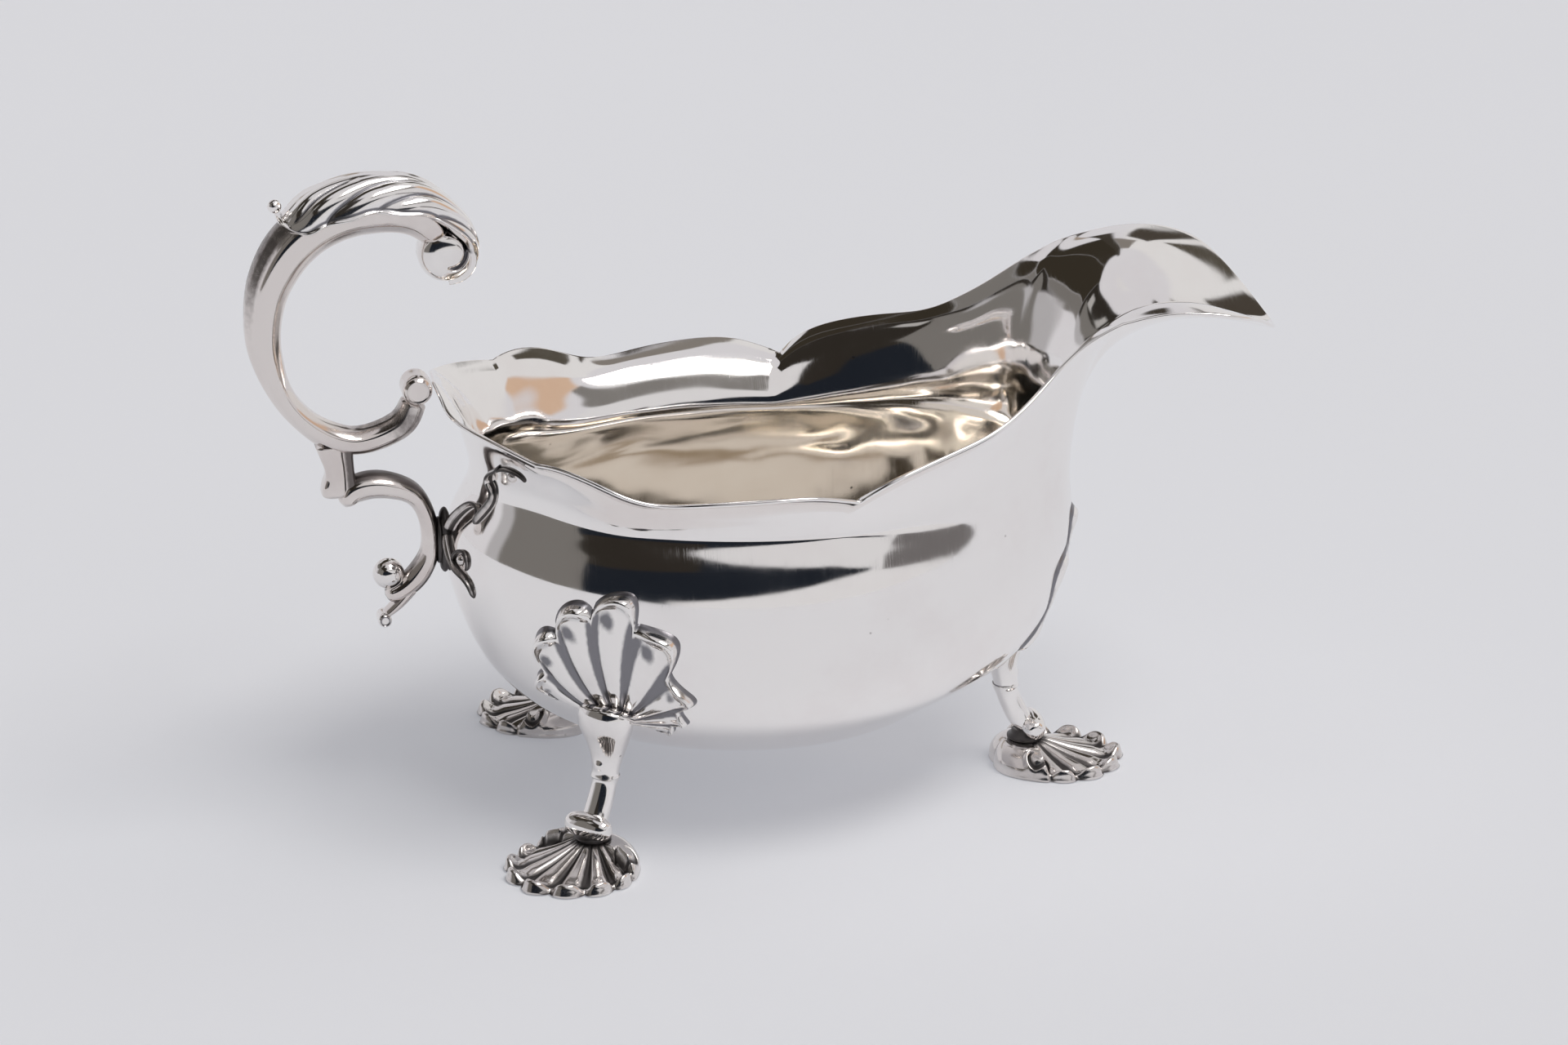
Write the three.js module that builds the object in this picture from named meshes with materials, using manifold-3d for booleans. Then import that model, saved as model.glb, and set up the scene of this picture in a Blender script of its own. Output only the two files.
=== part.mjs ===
// Footed sauce boat: a raised silver bowl with a shaped rim and a long spout, a flying
// double-scroll handle, and three cast legs with shell knees and shell feet.
// Millimetres, +Z up, +X towards the spout, +Y across; the feet stand on z = 0.

import * as THREE from 'three';
import { mergeVertices } from 'three/addons/utils/BufferGeometryUtils.js';
import Module from 'manifold-3d';

const wasm = await Module();
wasm.setup();

// ---------------------------------------------------------------- driving dimensions

const WALL = 1.1;            // thickness of the raised bowl
const JOINT_GAP = 0.3;       // gap left at every soldered joint
const LOBE_FACETS = [6, 9, 9, 6];   // facets along each lobe of the rim, on each side
const BOWL_ROWS = 14;        // facets from the middle of the bottom to the rim

const BOTTOM_Z = 10.9;       // lowest point of the bowl, over the table
// Level outlines of the bowl below its neck: height, rear end, front end, half width.
const LEVELS = [
  { z: 14.1, rear: -27, front: 24, half: 20 },
  { z: 19.6, rear: -43, front: 34, half: 31.5 },
  { z: 25.5, rear: -50.5, front: 44, half: 39 },
  { z: 36, rear: -57, front: 54.5, half: 42.6 },
  { z: 53, rear: -60.4, front: 58.4, half: 41 },
  { z: 64, rear: -56, front: 58.2, half: 38 },
];
const NECK_KNOTS = [0, 0.16, 0.3, 0.42, 0.55, 0.66, 0.76, 0.85, 0.93, 1];

// Half of the rim, from the handle end (u = 0) to the tip of the spout (u = 1).
// Each run is one lobe of the shaped edge, and the runs meet in a corner.
const RIM_RUNS = [
  [
    [0, -62.7, 0, 83.2],
    [0.06, -62.1, 8.3, 82.2],
    [0.115, -60, 16.2, 80.4],
    [0.155, -54.6, 23.6, 78.8],
    [0.2, -47.5, 30.4, 76.5],
  ],
  [
    [0.2, -47.5, 30.4, 76.5],
    [0.225, -43.6, 34.6, 76.7],
    [0.25, -38.2, 39.4, 75.5],
    [0.275, -33.2, 42, 73.5],
    [0.305, -27.8, 42.6, 71.8],
    [0.36, -17.6, 45.2, 72],
    [0.43, -6, 47.2, 72.8],
    [0.49, 2.6, 46.4, 72.5],
    [0.54, 10.6, 43.4, 70.3],
  ],
  [
    [0.54, 10.6, 43.4, 70.3],
    [0.56, 14, 44.5, 72.9],
    [0.6, 21.5, 43.5, 76.1],
    [0.655, 31, 39.6, 78.4],
    [0.708, 38.8, 35.3, 80.6],
    [0.75, 45, 32, 84.3],
    [0.789, 50.6, 28.9, 88.7],
    [0.82, 56, 27.2, 92.7],
    [0.853, 62.6, 26.6, 95.9],
  ],
  [
    [0.853, 62.6, 26.6, 95.9],
    [0.883, 70.2, 27, 97.3],
    [0.914, 79, 27.8, 97.3],
    [0.936, 85, 27.2, 96.1],
    [0.955, 89.6, 23.6, 94.1],
    [0.977, 94.4, 13.4, 89.5],
    [1, 97.1, 0, 86.1],
  ],
];

// The scrolls lie in the plane y = 0. Each station: x, z, half depth in that plane,
// half width across it.
const UPPER_SCROLL = [
  [-66.3, 79.3, 2.2, 3.2],
  [-67.8, 76.2, 2, 3.2],
  [-70.3, 74.3, 2, 3.3],
  [-73.6, 73.1, 2.2, 3.3],
  [-77.6, 72.7, 2.2, 3.4],
  [-81.6, 73.9, 2.3, 3.5],
  [-85.3, 76.4, 2.1, 3.6],
  [-88.7, 80, 2.1, 3.8],
  [-91.2, 84.1, 2.4, 4],
  [-92.8, 88.6, 2.9, 4.2],
  [-93.7, 93, 3.3, 4.4],
  [-93.7, 97.8, 3.6, 4.6],
  [-92.9, 102.7, 4, 4.8],
  [-91.3, 106.8, 4.4, 5],
  [-88.8, 110.8, 4.7, 5.2],
  [-85.2, 114.2, 4.8, 5.3],
  [-81, 116.6, 4.9, 5.4],
  [-76.5, 117.9, 4.9, 5.4],
  [-72.3, 118.3, 4.9, 5.4],
  [-68.2, 118, 4.8, 5.2],
  [-64.2, 116.6, 4.3, 5],
];
const LOWER_SCROLL = [
  [-78, 62.6, 1.7, 2.9],
  [-76.4, 63.9, 2.3, 3],
  [-73.4, 64.3, 2.3, 3.1],
  [-70.3, 63.8, 2.1, 3.1],
  [-67.9, 62.3, 2, 3],
  [-66.2, 60.1, 1.8, 2.9],
  [-65.1, 57, 1.6, 2.8],
  [-64.9, 53.6, 1.5, 2.8],
  [-65.1, 50.2, 1.6, 2.8],
  [-66, 47.2, 1.8, 2.8],
  [-67.5, 44.6, 1.8, 2.6],
  [-69.3, 42.9, 1.4, 2.4],
  [-71.2, 42.1, 0.9, 2.1],
];
const TAIL = [
  [-68, 42.6, 1.2, 2.4],
  [-69.4, 40.6, 1, 2.2],
  [-71, 39.1, 0.8, 2.1],
];

const RIM_ROLL = { x: -66, z: 82.9, radius: 2.9, half: 3.4 };
const VOLUTE = { x: -58.8, z: 109.2, radius: 4.6, half: 4.4 };
const VOLUTE_BALL = { radius: 2.9, y: 4.4 };
const LEAF_BEAD = { x: -91, z: 119.4, radius: 1.25 };
const LOWER_BALL = { x: -71.3, z: 46.3, radius: 2.9 };
const TAIL_ROLL = { x: -72.3, z: 37.5, radius: 1.3, half: 2.3 };
const STUB = { top: [-80.6, 70.6], bottom: [-79.3, 64.8], depth: 2.2, width: 2.6 };
const COLLAR = { x0: -62.9, x1: -62, z: 52.4, tall: 4.6, wide: 3.2 };

const SECTION_POWER = 2.4;   // 2 would make the scrolls' sections plain ovals
const LEAF_THICKNESS = 1.7;
// The leaf lies over the upper scroll and follows the volute round.
// Each station: centre x and z, direction of the crest in degrees from +X towards +Z,
// half depth and half width to the inner side, and how far down the sides it reaches.
const LEAF = [
  [-86.9, 112.8, 128, 5.1, 5.5, 16],
  [-85.6, 113.9, 124, 5.1, 5.6, 52],
  [-83.2, 115.4, 115, 5.2, 5.7, 80],
  [-80, 116.9, 106, 5.3, 5.8, 86],
  [-76.2, 118, 95, 5.3, 5.8, 82],
  [-72.2, 118.3, 88, 5.3, 5.8, 88],
  [-68, 117.9, 80, 5.2, 5.6, 82],
  [-64, 116, 68, 5, 5.4, 86],
  [-60.6, 112.6, 52, 5, 5.2, 58],
  [-58.8, 109.6, 30, 5, 4.9, 46],
  [-58.8, 109.2, 0, 5, 4.8, 42],
  [-58.8, 109.2, -40, 5, 4.7, 36],
  [-58.8, 109.2, -80, 5, 4.6, 24],
];

// A leg, in its own upright plane. Stations of the shank: distance outwards from the
// root, height, half depth, half width.
const SHANK = [
  [2.9, 9.4, 2.6, 3.1],
  [1.9, 11, 2.4, 2.7],
  [0.9, 13.4, 2.2, 2.5],
  [0.2, 15.6, 2.2, 2.5],
  [0.1, 16.3, 2.5, 2.8],
  [0, 17, 2.3, 2.6],
  [-0.4, 19.4, 2.5, 3],
  [-0.6, 22, 3, 3.8],
  [-0.4, 25.5, 3.8, 4.7],
  [0, 29, 4.5, 5.2],
];
const ANKLE = { out: 4, z: 7.2, radius: 4.6, half: 1.9 };
const FOOT_TOP = 5;
const FOOT_LOBES = 9;
const KNEE_LOBES = 9;
const KNEE_ROOT = 0.6;       // how far the knee shells reach in before they are trimmed
const KNEE_SPREAD = 95;      // degrees each side of upright

// Each leg: root in plan, outward direction, and where the knee shell's hub lies on the
// bowl, with the shell's size. The far leg stands a little further forward.
const LEGS = {
  rear_near: { root: [-35.5, -33.1], toe: [-0.73, -0.68], around: -0.289, up: 0.435, size: 1 },
  rear_far: { root: [-30.5, 32.3], toe: [-0.66, 0.75], around: 0.318, up: 0.435, size: 1 },
  front: { root: [46.6, 0], toe: [1, 0], around: 1, up: 0.4, size: 1.15 },
};

const SILVER = { color: 0xd8d4d0, roughness: 0.14, metalness: 1 };
const WORN_SILVER = { color: 0xc9c4bf, roughness: 0.2, metalness: 1 };

// ---------------------------------------------------------------- general helpers

// Natural cubic through the knots: returns a function from t to a list of values.
function naturalSpline(knots, rows) {
  const last = knots.length - 1;
  const width = rows[0].length;
  const bend = rows.map(() => new Array(width).fill(0));
  const ratio = new Array(last + 1).fill(0);
  for (let i = 1; i < last; i++) {
    const before = knots[i] - knots[i - 1];
    const after = knots[i + 1] - knots[i];
    const pivot = 2 * (before + after) - before * ratio[i - 1];
    ratio[i] = after / pivot;
    for (let k = 0; k < width; k++) {
      const slopeAfter = (rows[i + 1][k] - rows[i][k]) / after;
      const slopeBefore = (rows[i][k] - rows[i - 1][k]) / before;
      bend[i][k] = (6 * (slopeAfter - slopeBefore) - before * bend[i - 1][k]) / pivot;
    }
  }
  for (let i = last - 1; i > 0; i--) {
    for (let k = 0; k < width; k++) bend[i][k] -= ratio[i] * bend[i + 1][k];
  }
  return (t) => {
    let i = 0;
    while (i < last - 1 && t > knots[i + 1]) i++;
    const h = knots[i + 1] - knots[i];
    const a = knots[i + 1] - t;
    const b = t - knots[i];
    return rows[i].map((value, k) => {
      const cubic = (bend[i][k] * a ** 3 + bend[i + 1][k] * b ** 3) / (6 * h);
      const left = (value / h - (bend[i][k] * h) / 6) * a;
      const right = (rows[i + 1][k] / h - (bend[i + 1][k] * h) / 6) * b;
      return cubic + left + right;
    });
  };
}

// A spline through stations that are taken as evenly spaced.
function evenSpline(stations) {
  const spline = naturalSpline(stations.map((_, i) => i), stations);
  return (t) => spline(t * (stations.length - 1));
}

function smoothStep(x, from, to) {
  const t = Math.min(1, Math.max(0, (x - from) / (to - from)));
  return t * t * (3 - 2 * t);
}

function signedVolume(points, triangles) {
  let sum = 0;
  const cross = new THREE.Vector3();
  for (const [a, b, c] of triangles) {
    sum += points[a].dot(cross.crossVectors(points[b], points[c]));
  }
  return sum / 6;
}

function closedGeometry(points, triangles) {
  const outward = signedVolume(points, triangles) > 0;
  const index = triangles.flatMap(([a, b, c]) => (outward ? [a, b, c] : [a, c, b]));
  const geometry = new THREE.BufferGeometry();
  const flat = points.flatMap((p) => [p.x, p.y, p.z]);
  geometry.setAttribute('position', new THREE.Float32BufferAttribute(flat, 3));
  geometry.setIndex(index);
  geometry.computeVertexNormals();
  return geometry;
}

// Closed body through a row of loops, with each end closed to its own middle.
function loft(loops) {
  const count = loops[0].length;
  const points = loops.flat();
  const triangles = [];
  for (let r = 0; r < loops.length - 1; r++) {
    for (let i = 0; i < count; i++) {
      const a = r * count + i;
      const b = r * count + ((i + 1) % count);
      triangles.push([a, b, b + count], [a, b + count, a + count]);
    }
  }
  for (const end of [0, loops.length - 1]) {
    const middle = new THREE.Vector3();
    loops[end].forEach((p) => middle.addScaledVector(p, 1 / count));
    const centre = points.push(middle) - 1;
    for (let i = 0; i < count; i++) {
      const a = end * count + i;
      const b = end * count + ((i + 1) % count);
      triangles.push(end === 0 ? [centre, b, a] : [centre, a, b]);
    }
  }
  return closedGeometry(points, triangles);
}

// Closed body between an upper and a lower sheet of the same grid size.
function slab(upper, lower) {
  const rows = upper.length;
  const columns = upper[0].length;
  const points = [...upper.flat(), ...lower.flat()];
  const under = rows * columns;
  const triangles = [];
  const at = (r, c) => r * columns + c;
  for (let r = 0; r < rows - 1; r++) {
    for (let c = 0; c < columns - 1; c++) {
      const [a, b, d, e] = [at(r, c), at(r, c + 1), at(r + 1, c + 1), at(r + 1, c)];
      triangles.push([a, b, d], [a, d, e]);
      triangles.push([a + under, d + under, b + under], [a + under, e + under, d + under]);
    }
  }
  const edge = [];
  for (let c = 0; c < columns - 1; c++) edge.push(at(0, c));
  for (let r = 0; r < rows - 1; r++) edge.push(at(r, columns - 1));
  for (let c = columns - 1; c > 0; c--) edge.push(at(rows - 1, c));
  for (let r = rows - 1; r > 0; r--) edge.push(at(r, 0));
  edge.forEach((a, i) => {
    const b = edge[(i + 1) % edge.length];
    triangles.push([b, a, a + under], [b, a + under, b + under]);
  });
  return closedGeometry(points, triangles);
}

function toSolid(geometry) {
  const bare = geometry.clone();
  bare.deleteAttribute('normal');
  if (bare.hasAttribute('uv')) bare.deleteAttribute('uv');
  const merged = mergeVertices(bare, 1e-4);
  const vertProperties = new Float32Array(merged.attributes.position.array);
  const kept = [];
  const index = merged.index.array;
  for (let i = 0; i < index.length; i += 3) {
    const [a, b, c] = [index[i], index[i + 1], index[i + 2]];
    if (a !== b && b !== c && c !== a) kept.push(a, b, c);
  }
  const triVerts = new Uint32Array(kept);
  return new wasm.Manifold(new wasm.Mesh({ numProp: 3, vertProperties, triVerts }));
}

function toGeometry(manifold) {
  const mesh = manifold.getMesh();
  const geometry = new THREE.BufferGeometry();
  const positions = new THREE.Float32BufferAttribute(mesh.vertProperties, mesh.numProp);
  geometry.setAttribute('position', positions);
  geometry.setIndex([...mesh.triVerts]);
  geometry.computeVertexNormals();
  return geometry;
}

// ---------------------------------------------------------------- the bowl's surface

const rimRuns = RIM_RUNS.map((run) => ({
  end: run[run.length - 1][0],
  at: naturalSpline(run.map((row) => row[0]), run.map((row) => row.slice(1))),
}));

function rimPoint(u) {
  const run = rimRuns.find((one) => u <= one.end) ?? rimRuns[rimRuns.length - 1];
  return new THREE.Vector3(...run.at(u));
}

function levelPoint(level, u) {
  const turn = Math.PI * (1 - u);
  const middle = (level.rear + level.front) / 2;
  const reach = (level.front - level.rear) / 2;
  return new THREE.Vector3(middle + reach * Math.cos(turn), level.half * Math.sin(turn), level.z);
}

const meridians = new Map();

// The curve from the middle of the bottom (v = 0) up to the rim (v = 1) at u.
function meridian(u) {
  if (!meridians.has(u)) {
    const rows = [new THREE.Vector3(0, 0, BOTTOM_Z)];
    for (const level of LEVELS) rows.push(levelPoint(level, u));
    const neck = rows[rows.length - 1];
    const rise = rimPoint(u).sub(neck);
    const lip = smoothStep(u, 0.8, 1);
    const low = [0.13 + 0.025 * lip, 0.42 + 0.34 * lip];
    const high = [0.5 + 0.05 * lip, 0.82 + 0.26 * lip];
    for (const [out, up] of [low, high]) {
      rows.push(new THREE.Vector3(rise.x * out, rise.y * out, rise.z * up).add(neck));
    }
    rows.push(rimPoint(u));
    meridians.set(u, naturalSpline(NECK_KNOTS, rows.map((p) => p.toArray())));
  }
  return meridians.get(u);
}

// around runs from -1 to 1: negative on the near side, positive on the far side.
function bowlPoint(around, v) {
  let turned = around;
  if (turned > 1) turned -= 2;
  if (turned < -1) turned += 2;
  const [x, y, z] = meridian(Math.abs(turned))(v);
  return new THREE.Vector3(x, Math.sign(turned) * y, z);
}

function bowlTangents(around, v) {
  const step = 0.004;
  const low = Math.max(0, v - step);
  const high = Math.min(1, v + step);
  const along = bowlPoint(around + step, v).sub(bowlPoint(around - step, v));
  const upward = bowlPoint(around, high).sub(bowlPoint(around, low));
  return [along.divideScalar(2 * step), upward.divideScalar(high - low)];
}

function bowlNormal(around, v) {
  if (v < 0.02) return new THREE.Vector3(0, 0, -1);
  const [along, upward] = bowlTangents(around, v);
  return upward.cross(along).normalize();
}

// Places around the bowl, with one at every corner of the rim.
function bowlColumns() {
  const half = [];
  RIM_RUNS.forEach((run, i) => {
    const start = run[0][0];
    const length = run[run.length - 1][0] - start;
    for (let k = 0; k < LOBE_FACETS[i]; k++) half.push(start + (length * k) / LOBE_FACETS[i]);
  });
  const mirrored = half.slice(1).map((u) => -u).reverse();
  return [-1, ...mirrored, ...half];
}

function bowlLoop(v, inset) {
  return bowlColumns().map((around) => {
    return bowlPoint(around, v).addScaledVector(bowlNormal(around, v), -inset);
  });
}

function bowlRows() {
  return Array.from({ length: BOWL_ROWS }, (_, i) => 0.05 + (0.95 * i) / (BOWL_ROWS - 1));
}

function bowlShell() {
  const outer = bowlRows().map((v) => bowlLoop(v, 0));
  const inner = bowlRows().map((v) => bowlLoop(v, WALL)).reverse();
  return loft([...outer, ...inner]);
}

// The bowl as a solid lump, a little fat, used to trim what is soldered to it.
function bowlCutter() {
  return toSolid(loft(bowlRows().map((v) => bowlLoop(v, -JOINT_GAP))));
}

// ---------------------------------------------------------------- bars, rolls and leaves

// Turns a circle's cosine or sine into that of a slightly squared oval.
function squared(value) {
  return Math.sign(value) * Math.abs(value) ** (2 / SECTION_POWER);
}

// Closed bar along stations in an upright plane, placed in space by place(out, side, z).
function bar(stations, place, { steps = 1, sides = 12, fatter = 0 } = {}) {
  const at = evenSpline(stations);
  const count = (stations.length - 1) * steps;
  const loops = [];
  for (let i = 0; i <= count; i++) {
    const t = i / count;
    const [x, z, depth, width] = at(t);
    const ahead = at(Math.min(1, t + 0.01));
    const behind = at(Math.max(0, t - 0.01));
    const way = new THREE.Vector2(ahead[0] - behind[0], ahead[1] - behind[1]).normalize();
    const loop = [];
    for (let k = 0; k < sides; k++) {
      const angle = (2 * Math.PI * k) / sides;
      const reach = (depth + fatter) * squared(Math.cos(angle));
      const side = (width + fatter) * squared(Math.sin(angle));
      loop.push(place(x - way.y * reach, side, z + way.x * reach));
    }
    loops.push(loop);
  }
  return loft(loops);
}

const inHandlePlane = (x, y, z) => new THREE.Vector3(x, y, z);

// A short round roll lying across the handle's plane, with softened ends.
function roll({ x, z, radius, half }, fatter = 0) {
  const r = radius + fatter;
  const h = half + fatter;
  const soft = radius * 0.25;
  const profile = [[0, -h], [r - soft, -h], [r, -h + soft], [r, h - soft], [r - soft, h], [0, h]];
  const geometry = new THREE.LatheGeometry(profile.map(([a, b]) => new THREE.Vector2(a, b)), 20);
  return geometry.translate(x, 0, z);
}

function ball(radius, x, y, z) {
  return new THREE.SphereGeometry(radius, 14, 8).rotateX(Math.PI / 2).translate(x, y, z);
}

function leafSheet(outset) {
  const at = evenSpline(LEAF);
  const lengthwise = 24;
  const across = 8;
  const sheet = [];
  for (let i = 0; i <= lengthwise; i++) {
    const [x, z, crest, depth, width, reach] = at(i / lengthwise);
    const up = THREE.MathUtils.degToRad(crest);
    const wave = 1 + 0.05 * Math.sin((i / lengthwise) * 26);
    const taper = 0.5 + 0.5 * smoothStep(i / lengthwise, 0, 0.2);
    const row = [];
    for (let k = 0; k <= across; k++) {
      const side = THREE.MathUtils.degToRad(reach * wave * ((2 * k) / across - 1));
      const thin = outset * taper * (1 - 0.35 * Math.abs((2 * k) / across - 1));
      const rise = (depth + thin) * squared(Math.cos(side));
      const y = (width + thin) * squared(Math.sin(side));
      row.push(new THREE.Vector3(x + rise * Math.cos(up), y, z + rise * Math.sin(up)));
    }
    sheet.push(row);
  }
  return sheet;
}

// ---------------------------------------------------------------- the wall bracket

// Scrolling arms that lie on the bowl. Each point: place around, place up, half width.
const BRACKET_ARMS = [
  [[0.012, 0.69, 1.1], [0.035, 0.715, 1], [0.06, 0.73, 0.9], [0.085, 0.735, 0.9],
    [0.102, 0.765, 1], [0.1, 0.8, 0.9], [0.105, 0.835, 0.8], [0.125, 0.865, 0.7]],
  [[0.012, 0.66, 1.1], [0.03, 0.642, 1.1], [0.05, 0.632, 1], [0.075, 0.622, 0.8],
    [0.098, 0.615, 0.6]],
];
const BRACKET_RISE = 1.5;

function bracketArm(arm, side) {
  const at = evenSpline(arm);
  const count = arm.length - 1;
  const loops = [];
  for (let i = 0; i <= count; i++) {
    const t = i / count;
    const [around, up, half] = at(t);
    const ahead = at(Math.min(1, t + 0.02));
    const behind = at(Math.max(0, t - 0.02));
    const centre = bowlPoint(side * around, up);
    const out = bowlNormal(side * around, up);
    const front = bowlPoint(side * ahead[0], ahead[1]);
    const way = front.sub(bowlPoint(side * behind[0], behind[1])).normalize();
    const across = new THREE.Vector3().crossVectors(way, out).normalize();
    const loop = [];
    for (let k = 0; k < 6; k++) {
      const angle = (2 * Math.PI * (k + 0.5)) / 6;
      const lift = JOINT_GAP + BRACKET_RISE * (0.5 + 0.54 * Math.sin(angle));
      const point = centre.clone().addScaledVector(across, half * Math.cos(angle));
      loop.push(point.addScaledVector(out, lift));
    }
    loops.push(loop);
  }
  return toSolid(loft(loops));
}

function wallBracket(bowl) {
  const plate = new THREE.SphereGeometry(1, 12, 8).scale(2, 3.6, 7).translate(-60.4, 0, 52.4);
  let whole = toSolid(plate);
  for (const side of [-1, 1]) {
    for (const arm of BRACKET_ARMS) whole = whole.add(bracketArm(arm, side));
  }
  const collarSide = new THREE.BoxGeometry(4, 14, 20).translate(COLLAR.x1 + JOINT_GAP - 2, 0, COLLAR.z);
  return toGeometry(whole.subtract(bowl).subtract(toSolid(collarSide)));
}

// Two rings side by side, set on edge between the lower scroll and the bracket.
function collar() {
  const wide = COLLAR.x1 - COLLAR.x0;
  const profile = [[0, 0], [0.86, 0], [1, 0.22], [0.9, 0.5], [1, 0.78], [0.86, 1], [0, 1]];
  const points = profile.map(([r, x]) => new THREE.Vector2(r, x * wide));
  const geometry = new THREE.LatheGeometry(points, 20).rotateZ(-Math.PI / 2);
  return geometry.scale(1, COLLAR.wide, COLLAR.tall).translate(COLLAR.x0, 0, COLLAR.z);
}

// ---------------------------------------------------------------- the legs

function legPlace(leg) {
  const [tx, ty] = leg.toe;
  const size = Math.hypot(tx, ty);
  return (out, side, z) => {
    const ox = leg.root[0] + (out * tx - side * ty) / size;
    const oy = leg.root[1] + (out * ty + side * tx) / size;
    return new THREE.Vector3(ox, oy, z);
  };
}

// Bump of one lobe: 0 at its two sides, 1 in the middle.
function lobe(position, lobes) {
  const part = position * lobes - Math.floor(position * lobes);
  return Math.sqrt(Math.sin(Math.PI * Math.min(1, Math.max(0, part))) + 1e-9);
}

// Fan shell on the bowl over the leg: a point (side, up) in the fan's plan is laid on
// the bowl's surface and raised by lift.
function kneeShell(leg) {
  const [along, upward] = bowlTangents(leg.around, leg.up);
  const higher = bowlTangents(leg.around, Math.min(0.9, leg.up + 10 / upward.length()))[1];
  const perUp = 2 / (upward.length() + higher.length());
  const lay = (side, up, lift) => {
    const around = leg.around + side / along.length();
    const v = leg.up + up * perUp;
    return bowlPoint(around, v).addScaledVector(bowlNormal(around, v), lift);
  };
  const columns = KNEE_LOBES * 3;
  const rows = 4;
  const upper = [];
  const lower = [];
  for (let r = 0; r <= rows; r++) {
    const reach = 0.1 + 0.9 * (r / rows);
    const top = [];
    const base = [];
    for (let c = 0; c <= columns; c++) {
      const spot = c / columns;
      const swell = lobe(spot, KNEE_LOBES);
      const angle = THREE.MathUtils.degToRad(90 - KNEE_SPREAD + 2 * KNEE_SPREAD * spot);
      const fan = 12 + 12.5 * Math.max(0, Math.sin(angle)) ** 1.1;
      const edge = leg.size * fan * (0.88 + 0.12 * swell);
      const side = -reach * edge * Math.cos(angle);
      const up = reach * edge * Math.sin(angle);
      const lift = JOINT_GAP + 0.7 + 0.9 * swell * reach + 0.6 * smoothStep(reach, 0.6, 0.9);
      top.push(lay(side, up, r === rows ? lift - 0.8 : lift));
      base.push(lay(side, up, -KNEE_ROOT));
    }
    upper.push(top);
    lower.push(base);
  }
  return toSolid(slab(upper, lower));
}

function footReach(angle) {
  const turn = Math.abs(angle) / Math.PI;
  const spread = naturalSpline(
    [0, 0.25, 0.4, 0.5, 0.67, 1],
    [[19.6], [16.8], [13.4], [11.2], [9], [6.2]],
  );
  return spread(turn)[0];
}

// Shell foot: a smooth round heel and a fluted fan that points away from the bowl.
function shellFoot(place) {
  const columns = 45;
  const fan = 0.64;          // share of the half turn, each side, that is fluted
  const rows = [0, 0.15, 0.4, 0.7, 1];
  const loops = [];
  const ring = (share, heightAt) => {
    const loop = [];
    for (let c = 0; c < columns; c++) {
      const angle = -Math.PI + (2 * Math.PI * (c + 0.5)) / columns;
      const turn = angle / Math.PI;
      const fluted = Math.abs(turn) < fan;
      const swell = fluted ? lobe((turn + fan) / (2 * fan), FOOT_LOBES) : 0.8;
      const edge = footReach(angle) * (fluted ? 0.92 + 0.08 * swell : 0.98);
      const radius = 3 + (edge - 3) * share;
      const z = heightAt(swell, fluted);
      loop.push(place(ANKLE.out + radius * Math.cos(angle), radius * Math.sin(angle), z));
    }
    loops.push(loop);
  };
  for (const share of rows) {
    const fall = (1 - share) ** 1.6;
    ring(share, (swell, fluted) => {
      const dome = (1 - share ** 2.6) ** 0.6;
      const slope = fluted ? fall : dome;
      return 1.1 + (FOOT_TOP - 1.1) * slope + (fluted ? 0.7 * swell * share : 0);
    });
  }
  ring(0.985, () => 0.25);
  ring(0.95, () => 0);
  return loft(loops);
}

function ankleRing(place, fatter = 0) {
  const radius = ANKLE.radius + fatter;
  const half = ANKLE.half + fatter;
  const profile = [[0, -1], [0.72, -1], [0.93, -0.62], [1, 0], [0.93, 0.62], [0.72, 1], [0, 1]];
  const points = profile.map(([r, h]) => new THREE.Vector2(r * radius, h * half));
  const middle = place(ANKLE.out, 0, ANKLE.z);
  return new THREE.LatheGeometry(points, 18).rotateX(Math.PI / 2).translate(...middle.toArray());
}

// ---------------------------------------------------------------- assembly

const boat = new THREE.Group();

function addPiece(name, geometry, look = SILVER) {
  const mesh = new THREE.Mesh(geometry, new THREE.MeshStandardMaterial(look));
  mesh.name = name;
  boat.add(mesh);
}

const cutter = bowlCutter();
addPiece('bowl', bowlShell());

// The rolled end of the upper scroll, with a ball boss on each side.
function volute(fatter) {
  let whole = toSolid(roll(VOLUTE, fatter));
  for (const side of [-1, 1]) {
    const boss = ball(VOLUTE_BALL.radius + fatter, VOLUTE.x, side * VOLUTE_BALL.y, VOLUTE.z);
    whole = whole.add(toSolid(boss));
  }
  return whole;
}

const fatUpper = toSolid(bar(UPPER_SCROLL, inHandlePlane, { fatter: JOINT_GAP }));
const fatVolute = volute(JOINT_GAP);
const upperScroll = toSolid(bar(UPPER_SCROLL, inHandlePlane)).subtract(fatVolute);
addPiece('handle_upper_scroll', toGeometry(upperScroll));
addPiece('handle_rim_roll', roll(RIM_ROLL));
addPiece('thumb_volute', toGeometry(volute(0)));
const leaf = toSolid(slab(leafSheet(LEAF_THICKNESS), leafSheet(0)));
addPiece('handle_leaf', toGeometry(leaf.subtract(fatVolute)));
addPiece('leaf_bead', ball(LEAF_BEAD.radius, LEAF_BEAD.x, 0, LEAF_BEAD.z), WORN_SILVER);

const stub = [
  [...STUB.top, STUB.depth, STUB.width],
  [(STUB.top[0] + STUB.bottom[0]) / 2, (STUB.top[1] + STUB.bottom[1]) / 2, STUB.depth, STUB.width],
  [...STUB.bottom, STUB.depth * 0.8, STUB.width],
];
const fatLower = toSolid(bar(LOWER_SCROLL, inHandlePlane, { fatter: JOINT_GAP }));
const stubSolid = toSolid(bar(stub, inHandlePlane)).subtract(fatUpper).subtract(fatLower);
addPiece('handle_stub', toGeometry(stubSolid));

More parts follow.
